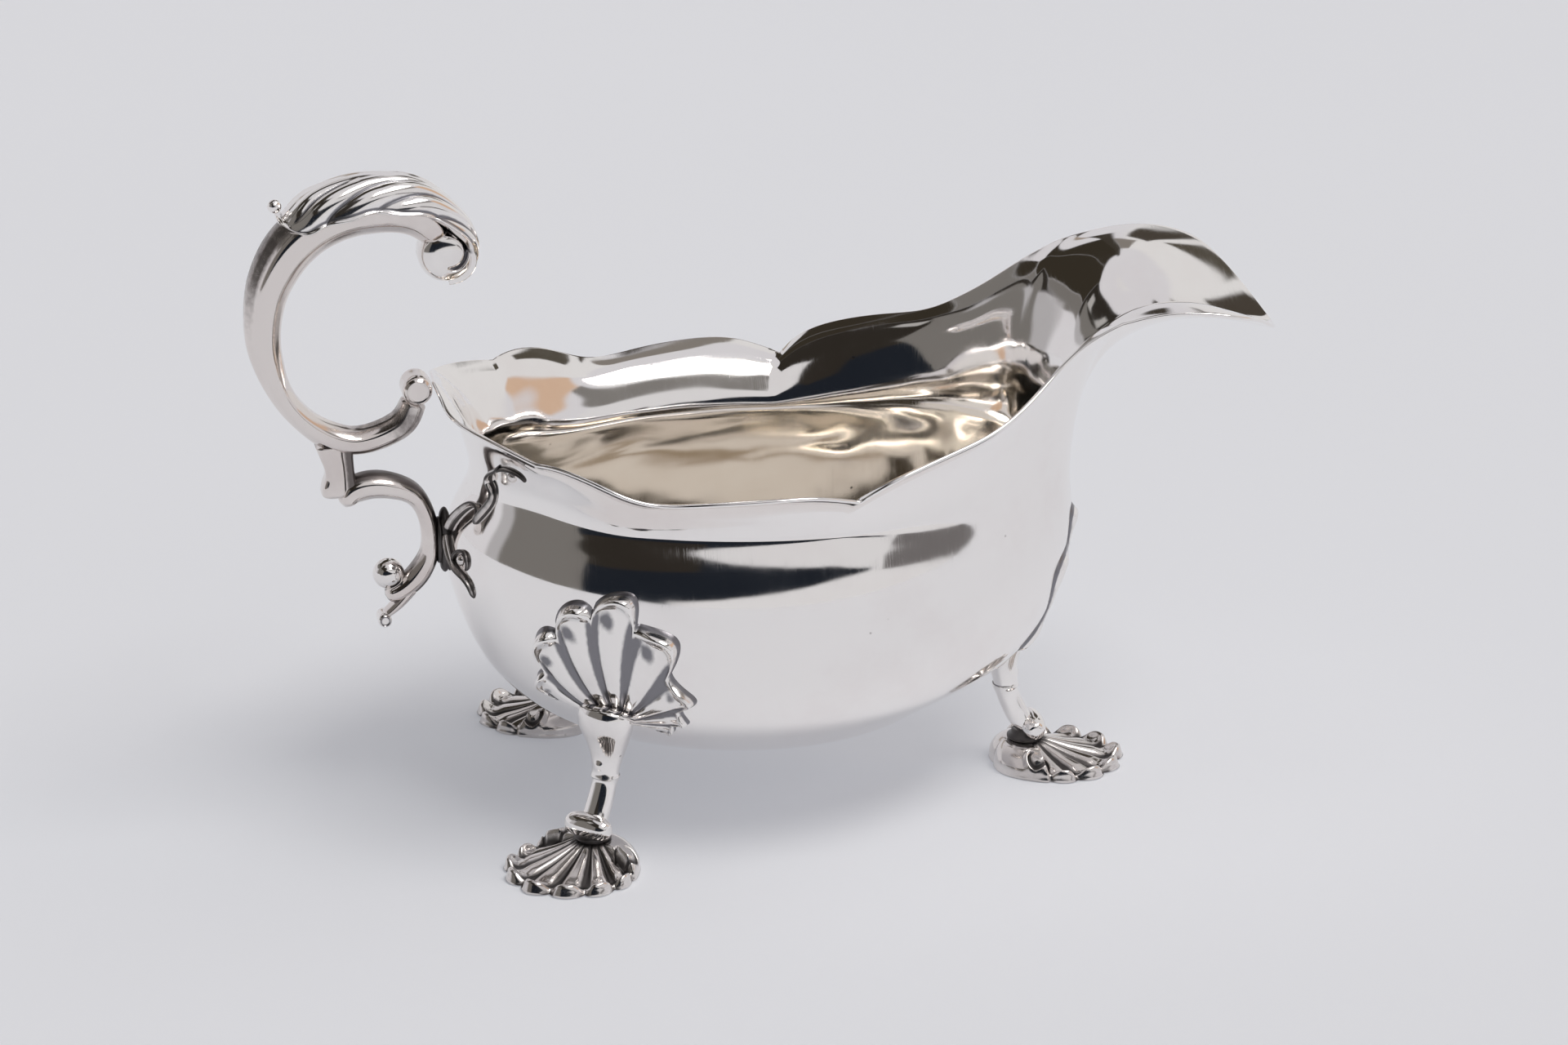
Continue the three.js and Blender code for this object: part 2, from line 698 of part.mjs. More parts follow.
const fatLowerBall = toSolid(ball(LOWER_BALL.radius + JOINT_GAP, LOWER_BALL.x, 0, LOWER_BALL.z));
const lowerScroll = toSolid(bar(LOWER_SCROLL, inHandlePlane)).subtract(fatLowerBall);
addPiece('handle_lower_scroll', toGeometry(lowerScroll));
addPiece('lower_scroll_ball', ball(LOWER_BALL.radius, LOWER_BALL.x, 0, LOWER_BALL.z));
const tail = toSolid(bar(TAIL, inHandlePlane)).subtract(fatLower).subtract(fatLowerBall);
addPiece('lower_scroll_tail', toGeometry(tail));
addPiece('tail_roll', roll(TAIL_ROLL));

addPiece('handle_collar', collar());
addPiece('wall_bracket', wallBracket(cutter), WORN_SILVER);

for (const [name, leg] of Object.entries(LEGS)) {
  const place = legPlace(leg);
  const fatRing = toSolid(ankleRing(place, JOINT_GAP));
  const shank = toSolid(bar(SHANK, place)).subtract(cutter).subtract(fatRing);
  const fatShank = toSolid(bar(SHANK, place, { fatter: JOINT_GAP }));
  const knee = kneeShell(leg).subtract(fatShank).subtract(cutter);
  addPiece(`${name}_knee_shell`, toGeometry(knee), WORN_SILVER);
  addPiece(`${name}_shank`, toGeometry(shank));
  addPiece(`${name}_ankle_ring`, ankleRing(place));
  addPiece(`${name}_shell_foot`, shellFoot(place), WORN_SILVER);
}

export default boat;
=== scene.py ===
"""Looks of a footed silver sauce boat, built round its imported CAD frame.

Shapes are worked out in millimetres in the frame's own axes: +X towards the spout, +Z up, the
feet on z = 0. make_piece() turns them into metres. "Near" is the -Y side.
"""
import math

import bpy
import numpy as np
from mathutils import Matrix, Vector
from mathutils.bvhtree import BVHTree


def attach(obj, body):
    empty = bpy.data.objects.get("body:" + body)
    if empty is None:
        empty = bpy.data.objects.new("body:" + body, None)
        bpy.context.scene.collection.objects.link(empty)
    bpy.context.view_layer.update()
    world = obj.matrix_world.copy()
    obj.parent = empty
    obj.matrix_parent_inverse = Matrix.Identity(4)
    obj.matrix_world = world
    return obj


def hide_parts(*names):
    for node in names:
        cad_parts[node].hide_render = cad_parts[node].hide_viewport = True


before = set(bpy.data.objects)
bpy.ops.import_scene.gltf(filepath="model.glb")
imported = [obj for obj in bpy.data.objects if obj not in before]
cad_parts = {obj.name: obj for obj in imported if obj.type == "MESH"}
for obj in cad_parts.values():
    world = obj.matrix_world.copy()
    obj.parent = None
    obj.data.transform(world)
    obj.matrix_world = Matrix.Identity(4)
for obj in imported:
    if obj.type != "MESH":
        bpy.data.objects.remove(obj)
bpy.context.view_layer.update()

MM = 0.001

# ------------------------ driving dimensions

WALL = 1.1                      # thickness of the raised bowl
RIM_WALL = 0.7                  # the same, at its edge
NECK_CREASE = 0.768             # how far up the wall its neck turns outwards
NECK_DROP = 2.2                 # how much lower the neck runs along both sides
BOTTOM_Z = 10.9                 # lowest point of the bowl, over the table
# Level outlines of the bowl below its neck: height, rear end, front end, half width.
LEVELS = [
    (14.1, -27, 24, 20), (19.6, -43, 34, 31.5), (25.5, -50.5, 44, 39),
    (36, -57, 54.5, 42.6), (53, -60.4, 58.4, 41), (64, -56, 58.2, 38),
]
NECK_KNOTS = [0, 0.16, 0.3, 0.42, 0.55, 0.66, 0.76, 0.85, 0.93, 1]
# Half of the rim, from the handle end (0) to the tip of the spout (1): place, x, y, z.
# Each run is one lobe of the shaped edge, and the runs meet in a corner.
RIM_RUNS = [
    [(0, -62.7, 0, 83.2), (0.06, -62.1, 8.3, 82.2), (0.115, -60, 16.2, 80.4),
     (0.155, -54.6, 23.6, 78.8), (0.2, -47.5, 30.4, 76.5)],
    [(0.2, -47.5, 30.4, 76.5), (0.225, -43.6, 34.6, 76.7), (0.25, -38.2, 39.4, 75.5),
     (0.275, -33.2, 42, 73.5), (0.305, -27.8, 42.6, 71.8), (0.36, -17.6, 45.2, 72),
     (0.43, -6, 47.2, 72.8), (0.49, 2.6, 46.4, 72.5), (0.54, 10.6, 43.4, 70.3)],
    [(0.54, 10.6, 43.4, 70.3), (0.56, 14, 44.5, 72.9), (0.6, 21.5, 43.5, 76.1),
     (0.655, 31, 39.6, 78.4), (0.708, 38.8, 35.3, 80.6), (0.75, 45, 32, 84.3),
     (0.789, 50.6, 28.9, 88.7), (0.82, 56, 27.2, 92.7), (0.853, 62.6, 26.6, 95.9)],
    [(0.853, 62.6, 26.6, 95.9), (0.883, 70.2, 27, 97.3), (0.914, 79, 27.8, 97.3),
     (0.936, 85, 27.2, 96.1), (0.955, 89.6, 23.6, 94.1), (0.977, 94.4, 13.4, 89.5),
     (1, 97.1, 0, 86.1)],
]
LOBE_COLUMNS = [30, 44, 44, 34]  # columns along each lobe of the rim, on each side
BOWL_ROWS = 132
LIP_ROWS = 9
INSIDE_SHARE = 0.74             # share of the inner face, from its middle, that is tinted warmer

# The scrolls lie in the plane y = 0: x, z, half depth in that plane, half width across it.
UPPER_SCROLL = [
    (-65.9, 80.4, 2.4, 2.9), (-67.5, 76.9, 2.6, 3.1), (-70, 74.9, 2.6, 3.3), (-73.5, 73.5, 2.6, 3.3),
    (-77.6, 73, 2.6, 3.4), (-81.6, 74.1, 2.6, 3.5), (-85.3, 76.5, 2.3, 3.6), (-88.7, 80, 2.2, 3.8),
    (-91.2, 84.1, 2.4, 4), (-92.8, 88.6, 2.9, 4.2), (-93.7, 93, 3.3, 4.4), (-93.7, 97.8, 3.6, 4.6),
    (-92.9, 102.7, 4, 4.8), (-91.3, 106.8, 4.4, 5), (-88.8, 110.8, 4.7, 5.2), (-85.2, 114.2, 4.8, 5.3),
    (-81, 116.6, 4.9, 5.4), (-76.5, 117.9, 4.9, 5.4), (-72.3, 118.3, 4.9, 5.4), (-68.2, 118, 4.8, 5.2),
    (-64.4, 116.3, 4.3, 4.9), (-61.8, 113.4, 3.4, 4.5), (-60.4, 110.6, 2.2, 4),
]
LOWER_SCROLL = [
    (-79, 60.2, 1.5, 2.6), (-78.3, 62.4, 2.3, 2.9), (-76.4, 63.7, 2.6, 3), (-73.4, 64.1, 2.6, 3.1),
    (-70.3, 63.6, 2.4, 3.1), (-67.3, 62.4, 2.1, 3), (-65.2, 60.2, 1.8, 2.9), (-63.9, 57, 1.7, 2.8),
    (-63.4, 53.6, 1.7, 2.8), (-63.6, 50.2, 1.8, 2.8), (-64.9, 47.2, 2.1, 2.8), (-66.9, 44.7, 2.2, 2.8),
    (-69.6, 42.9, 2, 2.8), (-72, 42.5, 1.5, 2.6),
]
TAIL = [
    (-66.8, 43.8, 1.3, 2.5), (-68.3, 41.8, 1.1, 2.4), (-70.2, 39.8, 0.9, 2.2), (-72.2, 38.2, 0.6, 2),
]
RIM_ROLL = (-65.5, 82.8)
RIM_ROLL_SIZE = (2.9, 3.5)      # radius, half length
VOLUTE = (-59.7, 108.9)
VOLUTE_SIZE = (5.2, 4.7)
VOLUTE_COIL = (118, 215)        # degrees: where its groove comes in, and how far it winds
LOWER_BALL = (-71.3, 46.3)
TAIL_ROLL = (-72.3, 37.5)
LEAF_BEAD = (-91, 119.2)
LEAF_BEAD_RADIUS = 1.3
LOWER_BALL_RADIUS = 2.95
TAIL_ROLL_SIZE = (1.35, 2.3)    # radius, half length
COLLAR = (-62.3, 0, 52.4)       # start of its axis, which runs towards the bowl
COLLAR_SIZE = (2.2, 3.2, 4.5)   # width over both rings, half breadth, half height
PLATE = (-60.6, 0, 52.4)        # middle of the bracket's oval plate
PLATE_SIZE = (1.1, 3, 6.4)      # half thickness, half breadth, half height
STUB = [
    (-80.9, 72.6, 3.7, 2.9), (-80.7, 70.8, 3.2, 2.7), (-80.3, 68.6, 2.8, 2.5), (-80.1, 66.2, 2.8, 2.5),
    (-80.2, 64, 3.3, 2.7), (-80.2, 62, 3.4, 2.6),
]
# The leaf lies over the upper scroll and follows the volute round: centre x and z, direction
# of the crest in degrees from +X towards +Z, half depth, half width, reach down the sides.
LEAF = [
    (-87.3, 112.4, 130, 4.9, 5.2, 22), (-85.8, 113.8, 125, 4.9, 5.4, 70), (-83.2, 115.4, 115, 5, 5.5, 86),
    (-80, 116.9, 106, 5, 5.6, 88), (-76.2, 117.9, 95, 4.9, 5.6, 88), (-72.2, 118.2, 88, 4.9, 5.6, 88),
    (-68, 117.8, 80, 4.9, 5.4, 86), (-64, 115.9, 68, 4.8, 5.2, 76), (-61, 112.6, 52, 4.9, 5, 62),
    (-59.8, 109.9, 28, 5.2, 4.8, 50), (-59.7, 108.9, -6, 5.2, 4.6, 42), (-59.7, 108.9, -44, 5.1, 4.2, 28),
    (-59.7, 108.9, -84, 5, 3.8, 10),
]
LEAF_FLUTES = 5
LEAF_SWEEP = 0.4                # how far a flute travels along the leaf on its way up

# Legs. Shank: distance outwards from the root, height, half depth, half width.
SHANK = [
    (4.4, 6.9, 1.6, 2.5), (3.6, 8.3, 2, 2.6), (2.7, 9.7, 2.2, 2.5), (1.9, 11.2, 2.2, 2.5),
    (0.9, 13.4, 2.15, 2.4), (0.2, 15.4, 2.2, 2.45), (0.05, 16.3, 2.55, 2.8), (0, 17.1, 2.3, 2.6),
    (-0.4, 19.4, 2.5, 3), (-0.6, 22, 3, 3.9), (-0.5, 24.6, 3.7, 4.9), (-0.3, 26.6, 4.3, 5.4),
    (-0.5, 28.4, 4.4, 5.4), (-0.9, 29.6, 3.9, 4.9),
]
BOSS_PLACE = 0.58               # place of the small oval boss along the shank
ANKLE_OUT = 4
ANKLE_ROLL = (5.2, 7.8, 2.45, 4.9)  # out, z, radius, half length
FOOT_TOP = 5
FOOT_HEM = 0.85                 # height of the edge where it turns under
FOOT_HOLE = 3                   # radius under the collar
FOOT_COLLAR = [(2.6, 1.9), (2.7, 1.2), (3.5, 0.8), (3.5, 0.35), (3, 0)]  # radius, lift
FOOT_CURL = (0.6, 8.6)          # along the foot and to each side, from the ankle
FOOT_LOBES = 7
FOOT_FAN = 0.43                 # share of the half turn, each side, that is fluted
FOOT_REACH = [(0, 19.6), (0.25, 16.8), (0.4, 13.4), (0.5, 11.2), (0.67, 9), (1, 6.2)]
# Knee shell: where each lobe begins in degrees round the hub, then each lobe's reach.
KNEE_EDGES = [20, 44, 67, 87, 105, 124, 147, 172, 200]
KNEE_REACH = [17.6, 21.2, 23.6, 26, 23.2, 17.6, 13.4, 10.8]
# Each leg: root in plan, outward direction, hub of the knee shell on the bowl, size.
LEGS = {
    "rear_near": dict(root=(-35.5, -33.1), toe=(-0.73, -0.68), hub=(-0.289, 0.435), size=1,
                      relief=1),
    "rear_far": dict(root=(-30.5, 32.3), toe=(-0.66, 0.75), hub=(0.318, 0.435), size=1,
                     relief=1),
    "front": dict(root=(46.6, 0), toe=(1, 0), hub=(1, 0.4), size=1.15, relief=0.5),
}

# Arms of the wall bracket, on one side: place around the bowl, place up it, half width, rise.
BRACKET_ARCH = [
    (0.014, 0.672, 1.1, 1.7), (0.022, 0.69, 1, 1.7), (0.038, 0.713, 0.9, 1.6),
    (0.056, 0.731, 0.85, 1.5), (0.075, 0.735, 0.8, 1.4), (0.087, 0.724, 0.75, 1.2),
    (0.087, 0.708, 0.5, 0.8),
]
BRACKET_STEM = [
    (0.085, 0.707, 0.5, 0.9), (0.091, 0.72, 0.8, 1.4), (0.099, 0.742, 0.85, 1.5),
    (0.103, 0.762, 0.75, 1.4), (0.1, 0.782, 0.75, 1.4), (0.093, 0.798, 0.9, 1.5),
    (0.096, 0.816, 0.8, 1.4), (0.11, 0.836, 0.75, 1.3), (0.126, 0.853, 0.75, 1.2),
    (0.136, 0.872, 0.5, 0.8),
]
BRACKET_TOP = [
    (0.126, 0.851, 0.4, 0.8), (0.14, 0.866, 0.5, 0.9), (0.156, 0.874, 0.45, 0.8),
    (0.17, 0.872, 0.4, 0.7), (0.177, 0.86, 0.3, 0.5),
]
BRACKET_FOOT = [
    (0.014, 0.668, 1.1, 1.7), (0.028, 0.658, 1, 1.6), (0.045, 0.645, 0.9, 1.5),
    (0.063, 0.636, 0.8, 1.4), (0.084, 0.632, 0.75, 1.3), (0.098, 0.624, 0.7, 1.1),
    (0.102, 0.611, 0.4, 0.7),
]
BRACKET_CURL = [
    (0.05, 0.644, 0.4, 0.8), (0.06, 0.655, 0.5, 1), (0.077, 0.663, 0.5, 1),
    (0.091, 0.661, 0.5, 0.9), (0.096, 0.65, 0.4, 0.8), (0.09, 0.641, 0.3, 0.5),
]
# Beads on the bracket: place around the bowl, place up it, radius, rise.
BRACKET_BEADS = [(0.079, 0.652, 1.1, 1.1), (0.154, 0.853, 1, 0.8)]
NEAR_RISE = 0.85                # stretch of the arms' rise on the near side
FAR_RISE = 0.3                  # the same on the far side

# ------------------------ splines and small formulas


def spline_weights(knots, places):
    """Weights of a natural cubic through evenly valued knots: one row for each place."""
    knots = np.asarray(knots, float)
    places = np.atleast_1d(np.asarray(places, float))
    count = len(knots)
    step = np.diff(knots)
    system = np.eye(count)
    right = np.zeros((count, count))
    for i in range(1, count - 1):
        before, after = step[i - 1], step[i]
        system[i, i - 1 : i + 2] = before, 2 * (before + after), after
        right[i, i - 1 : i + 2] = 6 / before, -6 / before - 6 / after, 6 / after
    bend = np.linalg.solve(system, right)
    i = np.clip(np.searchsorted(knots, places, side="right") - 1, 0, count - 2)
    h = step[i]
    a = knots[i + 1] - places
    b = places - knots[i]
    weights = bend[i] * (a**3 / (6 * h) - h * a / 6)[:, None]
    weights += bend[i + 1] * (b**3 / (6 * h) - h * b / 6)[:, None]
    row = np.arange(len(places))
    weights[row, i] += a / h
    weights[row, i + 1] += b / h
    return weights


def along(stations, places):
    """Values at places from 0 to 1 on a spline through evenly spaced stations."""
    stations = np.asarray(stations, float)
    return spline_weights(np.linspace(0, 1, len(stations)), places) @ stations


def smooth_step(x, low, high):
    t = np.clip((x - low) / (high - low), 0, 1)
    return t * t * (3 - 2 * t)


def bump(x, centre, width):
    """A smooth hill, 1 at its centre."""
    return np.exp(-(((x - centre) / width) ** 2))


def rib(part, power=0.6):
    """Rounded bump between two sharp valleys, at part = 0 and part = 1."""
    return np.sin(np.pi * (part - np.floor(part))).clip(0) ** power


def rounded(profile, rounds=3):
    """Cuts the corners of an open outline again and again, and keeps its two ends."""
    profile = np.asarray(profile, float)
    for _ in range(rounds):
        first = 0.75 * profile[:-1] + 0.25 * profile[1:]
        second = 0.25 * profile[:-1] + 0.75 * profile[1:]
        middle = np.stack([first, second], 1).reshape(-1, profile.shape[1])
        profile = np.vstack([profile[:1], middle, profile[-1:]])
    return profile


def unit(vectors):
    return vectors / np.linalg.norm(vectors, axis=-1, keepdims=True)


def ripple(points, length, seed):
    """Gentle waviness of hand-raised metal: a sum of sines, about -1 to 1."""
    rng = np.random.default_rng(seed)
    total = np.zeros(points.shape[:-1])
    for _ in range(9):
        way = unit(rng.normal(size=3)) * 2 * np.pi / (length * rng.uniform(0.7, 1.5))
        total += np.sin(points @ way + rng.uniform(0, 2 * np.pi))
    return total / 4


# ------------------------ closed meshes


def strip_faces(rows, columns, first=0, wrap=True):
    """Quads between the rows of a grid of points."""
    index = first + np.arange(rows * columns).reshape(rows, columns)
    right = np.roll(index, -1, axis=1)
    if not wrap:
        index, right = index[:, :-1], right[:, :-1]
    quads = np.stack([index[:-1], right[:-1], right[1:], index[1:]], -1)
    return quads.reshape(-1, 4).tolist()


def closed_tube(loops, start=None, end=None):
    """Closed body through a row of loops; each end is closed to one middle point."""
    rows, columns = loops.shape[:2]
    start = loops[0].mean(0) if start is None else start
    end = loops[-1].mean(0) if end is None else end
    points = np.vstack([loops.reshape(-1, 3), [start], [end]])
    faces = strip_faces(rows, columns)
    last = (rows - 1) * columns
    for i in range(columns):
        j = (i + 1) % columns
        faces.append((j, i, rows * columns))
        faces.append((last + i, last + j, rows * columns + 1))
    return points, faces


def closed_sheet(upper, lower):
    """Closed body between two grids of points of the same size."""
    rows, columns = upper.shape[:2]
    size = rows * columns
    points = np.vstack([upper.reshape(-1, 3), lower.reshape(-1, 3)])
    faces = strip_faces(rows, columns, wrap=False)
    faces += [(d, c, b, a) for a, b, c, d in strip_faces(rows, columns, size, wrap=False)]
    index = np.arange(size).reshape(rows, columns)
    edge = [*index[0, :-1], *index[:-1, -1], *index[-1, :0:-1], *index[:0:-1, 0]]
    for a, b in zip(edge, edge[1:] + edge[:1]):
        faces.append((int(b), int(a), int(a) + size, int(b) + size))
    return points, faces


def joined(*shapes):
    """Several closed shapes as one."""
    points, faces, first = [], [], 0
    for more_points, more_faces in shapes:
        points.append(more_points)
        faces += [tuple(first + i for i in face) for face in more_faces]
        first += len(more_points)
    return np.vstack(points), faces


def turned(profile, centre, axis, columns=64, squash=(1, 1)):
    """Body turned from an outline of (radius, place along the axis) rows."""
    profile = np.asarray(profile, float)
    axis = unit(np.asarray(axis, float))
    helper = np.array([0, 0, 1.0]) if abs(axis[2]) < 0.9 else np.array([1.0, 0, 0])
    side = unit(np.cross(helper, axis))
    other = np.cross(axis, side)
    angle = np.linspace(0, 2 * np.pi, columns, endpoint=False)
    ring = np.cos(angle)[:, None] * side * squash[0] + np.sin(angle)[:, None] * other * squash[1]
    place = np.asarray(centre, float) + profile[:, 1, None] * axis
    loops = place[:, None, :] + profile[:, 0, None, None] * ring
    return closed_tube(loops[1:-1], place[0], place[-1])


def turned_across(profile, spot, columns=64):
    """The same, with its axis across the handle through a spot (x, z)."""
    return turned(profile, (spot[0], 0, spot[1]), (0, 1, 0), columns)


def ball_outline(radius, groove=0.0):
    """Half circle from pole to pole, with a chased line round it near each pole."""
    turn = np.linspace(0, np.pi, 49)
    reach = radius * (1 - groove * (bump(turn, 0.75, 0.07) + bump(turn, np.pi - 0.75, 0.07)))
    return np.stack([reach * np.sin(turn), -reach * np.cos(turn)], -1)


def faceted(angle, crispness=14, faces=8):
    """Radius, at each angle, of a rounded polygon with its first face towards angle 0."""
    turns = 2 * np.pi * np.arange(faces) / faces
    reach = np.maximum(0, np.cos(angle[..., None] - turns)) ** crispness
    return reach.sum(-1) ** (-1 / crispness)


def oval(angle, power=2.4):
    cosine, sine = np.cos(angle), np.sin(angle)
    return (np.abs(cosine) ** power + np.abs(sine) ** power) ** (-1 / power)


def bar_loops(stations, place, section, rows=160, columns=72, round_ends=(0, 0)):
    """Loops of a bar along stations (x, z, half depth, half width) in an upright plane."""
    t = np.linspace(0, 1, rows)
    x, z, depth, width = along(stations, t).T
    way = unit(np.stack([np.gradient(x), np.gradient(z)], -1))
    start, end = round_ends
    full = np.ones(rows)
    if start:
        full *= np.sqrt(1 - (1 - np.clip(t / start, 0.06, 1)) ** 2)
    if end:
        full *= np.sqrt(1 - (1 - np.clip((1 - t) / end, 0.06, 1)) ** 2)
    angle = np.linspace(0, 2 * np.pi, columns, endpoint=False)
    t_grid, angle_grid = np.meshgrid(t, angle, indexing="ij")
    radius = section(t_grid, angle_grid)
    reach = (depth * full)[:, None] * radius * np.cos(angle_grid)
    side = (width * full)[:, None] * radius * np.sin(angle_grid)
    return place(x[:, None] - way[:, 1, None] * reach, side, z[:, None] + way[:, 0, None] * reach)


def bar_grid(loops):
    """For each point of a bar: its place along it, and its angle from the back of the bar."""
    rows, columns = loops.shape[:2]
    angle = np.linspace(0, 2 * np.pi, columns, endpoint=False)
    return np.meshgrid(np.linspace(0, 1, rows), np.abs(angle_from_zero(angle)), indexing="ij")


def angle_from_zero(angle):
    return (angle + np.pi) % (2 * np.pi) - np.pi


def in_handle_plane(x, y, z):
    return np.stack(np.broadcast_arrays(x, y, z), -1)


# ------------------------ the bowl's surface


def rim_points(u):
    points = np.zeros((len(u), 3))
    for run in RIM_RUNS:
        run = np.array(run, float)
        here = (u >= run[0, 0]) & (u <= run[-1, 0])
        points[here] = spline_weights(run[:, 0], u[here]) @ run[:, 1:]
    return points


def bowl_controls(u):
    """Control points of the curves that climb from the middle of the bottom to the rim."""
    turn = np.pi * (1 - u)
    rows = [np.tile([0, 0, BOTTOM_Z], (len(u), 1)).astype(float)]
    for z, rear, front, half in LEVELS:
        x = (rear + front) / 2 + (front - rear) / 2 * np.cos(turn)
        rows.append(np.stack([x, half * np.sin(turn), np.full(len(u), z)], -1))
    neck = rows[-1]
    neck[:, 2] -= NECK_DROP * smooth_step(u, 0.16, 0.32) * (1 - smooth_step(u, 0.55, 0.75))
    rim = rim_points(u)
    lip = smooth_step(u, 0.8, 1)[:, None]
    for out, up in [(0.13 + 0.025 * lip, 0.42 + 0.34 * lip), (0.5 + 0.05 * lip, 0.82 + 0.26 * lip)]:
        rows.append(neck + (rim - neck) * np.hstack([out, out, up]))
    rows.append(rim)
    return np.array(rows)


def bowl_points(around, v):
    """Outer face. around: -1 to 1, negative on the near side; v: 0 at the bottom, 1 at the rim."""
    around, v = np.broadcast_arrays(np.asarray(around, float), np.asarray(v, float))
    flat = (around.ravel() + 1) % 2 - 1
    weights = spline_weights(NECK_KNOTS, v.ravel())
    points = np.einsum("nk,knd->nd", weights, bowl_controls(np.abs(flat)))
    points[:, 1] *= np.where(flat < 0, -1, 1)
    return points.reshape(around.shape + (3,))


def bowl_frame(around, v, step=0.004):
    """Tangent along the bowl, tangent up it, and the outward normal."""
    around, v = np.broadcast_arrays(np.asarray(around, float), np.asarray(v, float))
    low, high = np.clip(v - step, 0.01, 1), np.clip(v + step, 0.02, 1)
    along_it = (bowl_points(around + step, v) - bowl_points(around - step, v)) / (2 * step)
    upward = (bowl_points(around, high) - bowl_points(around, low)) / (high - low)[..., None]
    return along_it, upward, unit(np.cross(upward, along_it))


def bowl_columns():
    """Places round the bowl, with one at every corner of the rim."""
    half = []
    for run, count in zip(RIM_RUNS, LOBE_COLUMNS):
        half += list(np.linspace(run[0][0], run[-1][0], count, endpoint=False))
    return np.array([-1] + [-u for u in half[:0:-1]] + half)


def bowl_shape():
    """Wall of the bowl: outer face, thin rounded edge, then a softly wavy inner face."""
    columns = bowl_columns()
    rows = 0.02 + 0.98 * np.linspace(0, 1, BOWL_ROWS) ** 0.9
    around, v = np.meshgrid(columns, rows)
    outer = bowl_points(around, v)
    upward, normal = bowl_frame(around, v)[1:]
    half = np.abs(around)
    crease = np.exp(-np.hypot(v - NECK_CREASE, 0.005) / 0.03)
    crease *= smooth_step(half, 0.16, 0.3) * (1 - smooth_step(half, 0.52, 0.7))
    calm = smooth_step(v, 0.05, 0.2) * (1 - smooth_step(v, 0.94, 1))
    dent = 0.02 * ripple(outer, 24, 3) * calm - 0.45 * crease
    wall = WALL - (WALL - RIM_WALL) * smooth_step(v, 0.82, 1)
    inner = outer - normal * wall[..., None]
    wave = (0.1 * ripple(outer, 18, 5) + 0.02 * ripple(outer, 8, 8)) * calm - 0.45 * crease
    inner = inner + normal * wave[..., None]
    outer = outer + normal * dent[..., None]
    climb = unit(upward[-1])
    middle = outer[-1] - climb * RIM_WALL / 2 - normal[-1] * RIM_WALL / 2
    turn = np.linspace(0, np.pi, LIP_ROWS)[:, None, None]
    lip = middle + (normal[-1] * np.cos(turn) + climb * np.sin(turn)) * RIM_WALL / 2
    bottom = np.array([0, 0, BOTTOM_Z])
    loops = np.vstack([outer[:-1], lip, inner[-2::-1]])
    return closed_tube(loops, bottom, bottom + [0, 0, WALL])


def outside_tree():
    """Search tree over the bowl's outer face, for whatever is soldered on it."""
    around, v = np.meshgrid(bowl_columns(), np.linspace(0.02, 1, BOWL_ROWS))
    points = bowl_points(around, v)
    faces = strip_faces(*points.shape[:2])
    return BVHTree.FromPolygons([Vector(p) for p in points.reshape(-1, 3)], faces)


def kept_outside(points, tree, sink=0.35):
    """Points that would pass through the wall are drawn back to just under its outer face."""
    flat = points.reshape(-1, 3).copy()
    for i, point in enumerate(flat):
        spot, _, face, _ = tree.find_nearest(Vector(point), 12)
        if face is None:
            continue
        out = outward(np.array(spot))
        depth = (point - np.array(spot)) @ out
        if depth < -sink:
            flat[i] = point - out * (depth + sink)
    return flat.reshape(points.shape)


def outward(spot):
    """Rough outward direction of the bowl at a spot on it."""
    return unit(spot / [1.3, 0.95, 1] - [0, 0, 44])


# ------------------------ Blender helpers


def recess_of(mesh, reach=0.0011, rounds=3):
    """How deep each point lies in a hollow: 0 where flat or proud, 1 in a tight valley."""
    count = len(mesh.vertices)
    place = np.zeros(count * 3)
    normal = np.zeros(count * 3)
    ends = np.zeros(len(mesh.edges) * 2, dtype=int)
    mesh.vertices.foreach_get("co", place)
    mesh.vertices.foreach_get("normal", normal)
    mesh.edges.foreach_get("vertices", ends)
    place, normal = place.reshape(-1, 3), normal.reshape(-1, 3)
    a, b = ends.reshape(-1, 2).T
    run = place[b] - place[a]
    square = (run**2).sum(1).clip(1e-12)
    number = np.bincount(a, minlength=count) + np.bincount(b, minlength=count)
    hollow = np.bincount(a, (run * normal[a]).sum(1) / square, count)
    hollow -= np.bincount(b, (run * normal[b]).sum(1) / square, count)
    hollow = np.clip(hollow / number * reach, -2, 2)
    for _ in range(rounds):
        mean = np.bincount(a, hollow[b], count) + np.bincount(b, hollow[a], count)
        hollow = (hollow + mean / number) / 2
    return hollow.clip(0, 1)


def volume_of(points, faces):
    """Six times the signed volume inside a closed mesh."""
    total = 0.0
    for size in (3, 4):
        corners = np.array([face for face in faces if len(face) == size], dtype=int)
        for i in range(1, size - 1) if len(corners) else ():
            a, b, c = points[corners[:, 0]], points[corners[:, i]], points[corners[:, i + 1]]
            total += (a * np.cross(b, c)).sum()
    return total


def add_object(name, data):
    """A new object in the scene that shows the data."""
    thing = bpy.data.objects.new(name, data)
    bpy.context.scene.collection.objects.link(thing)
    return thing


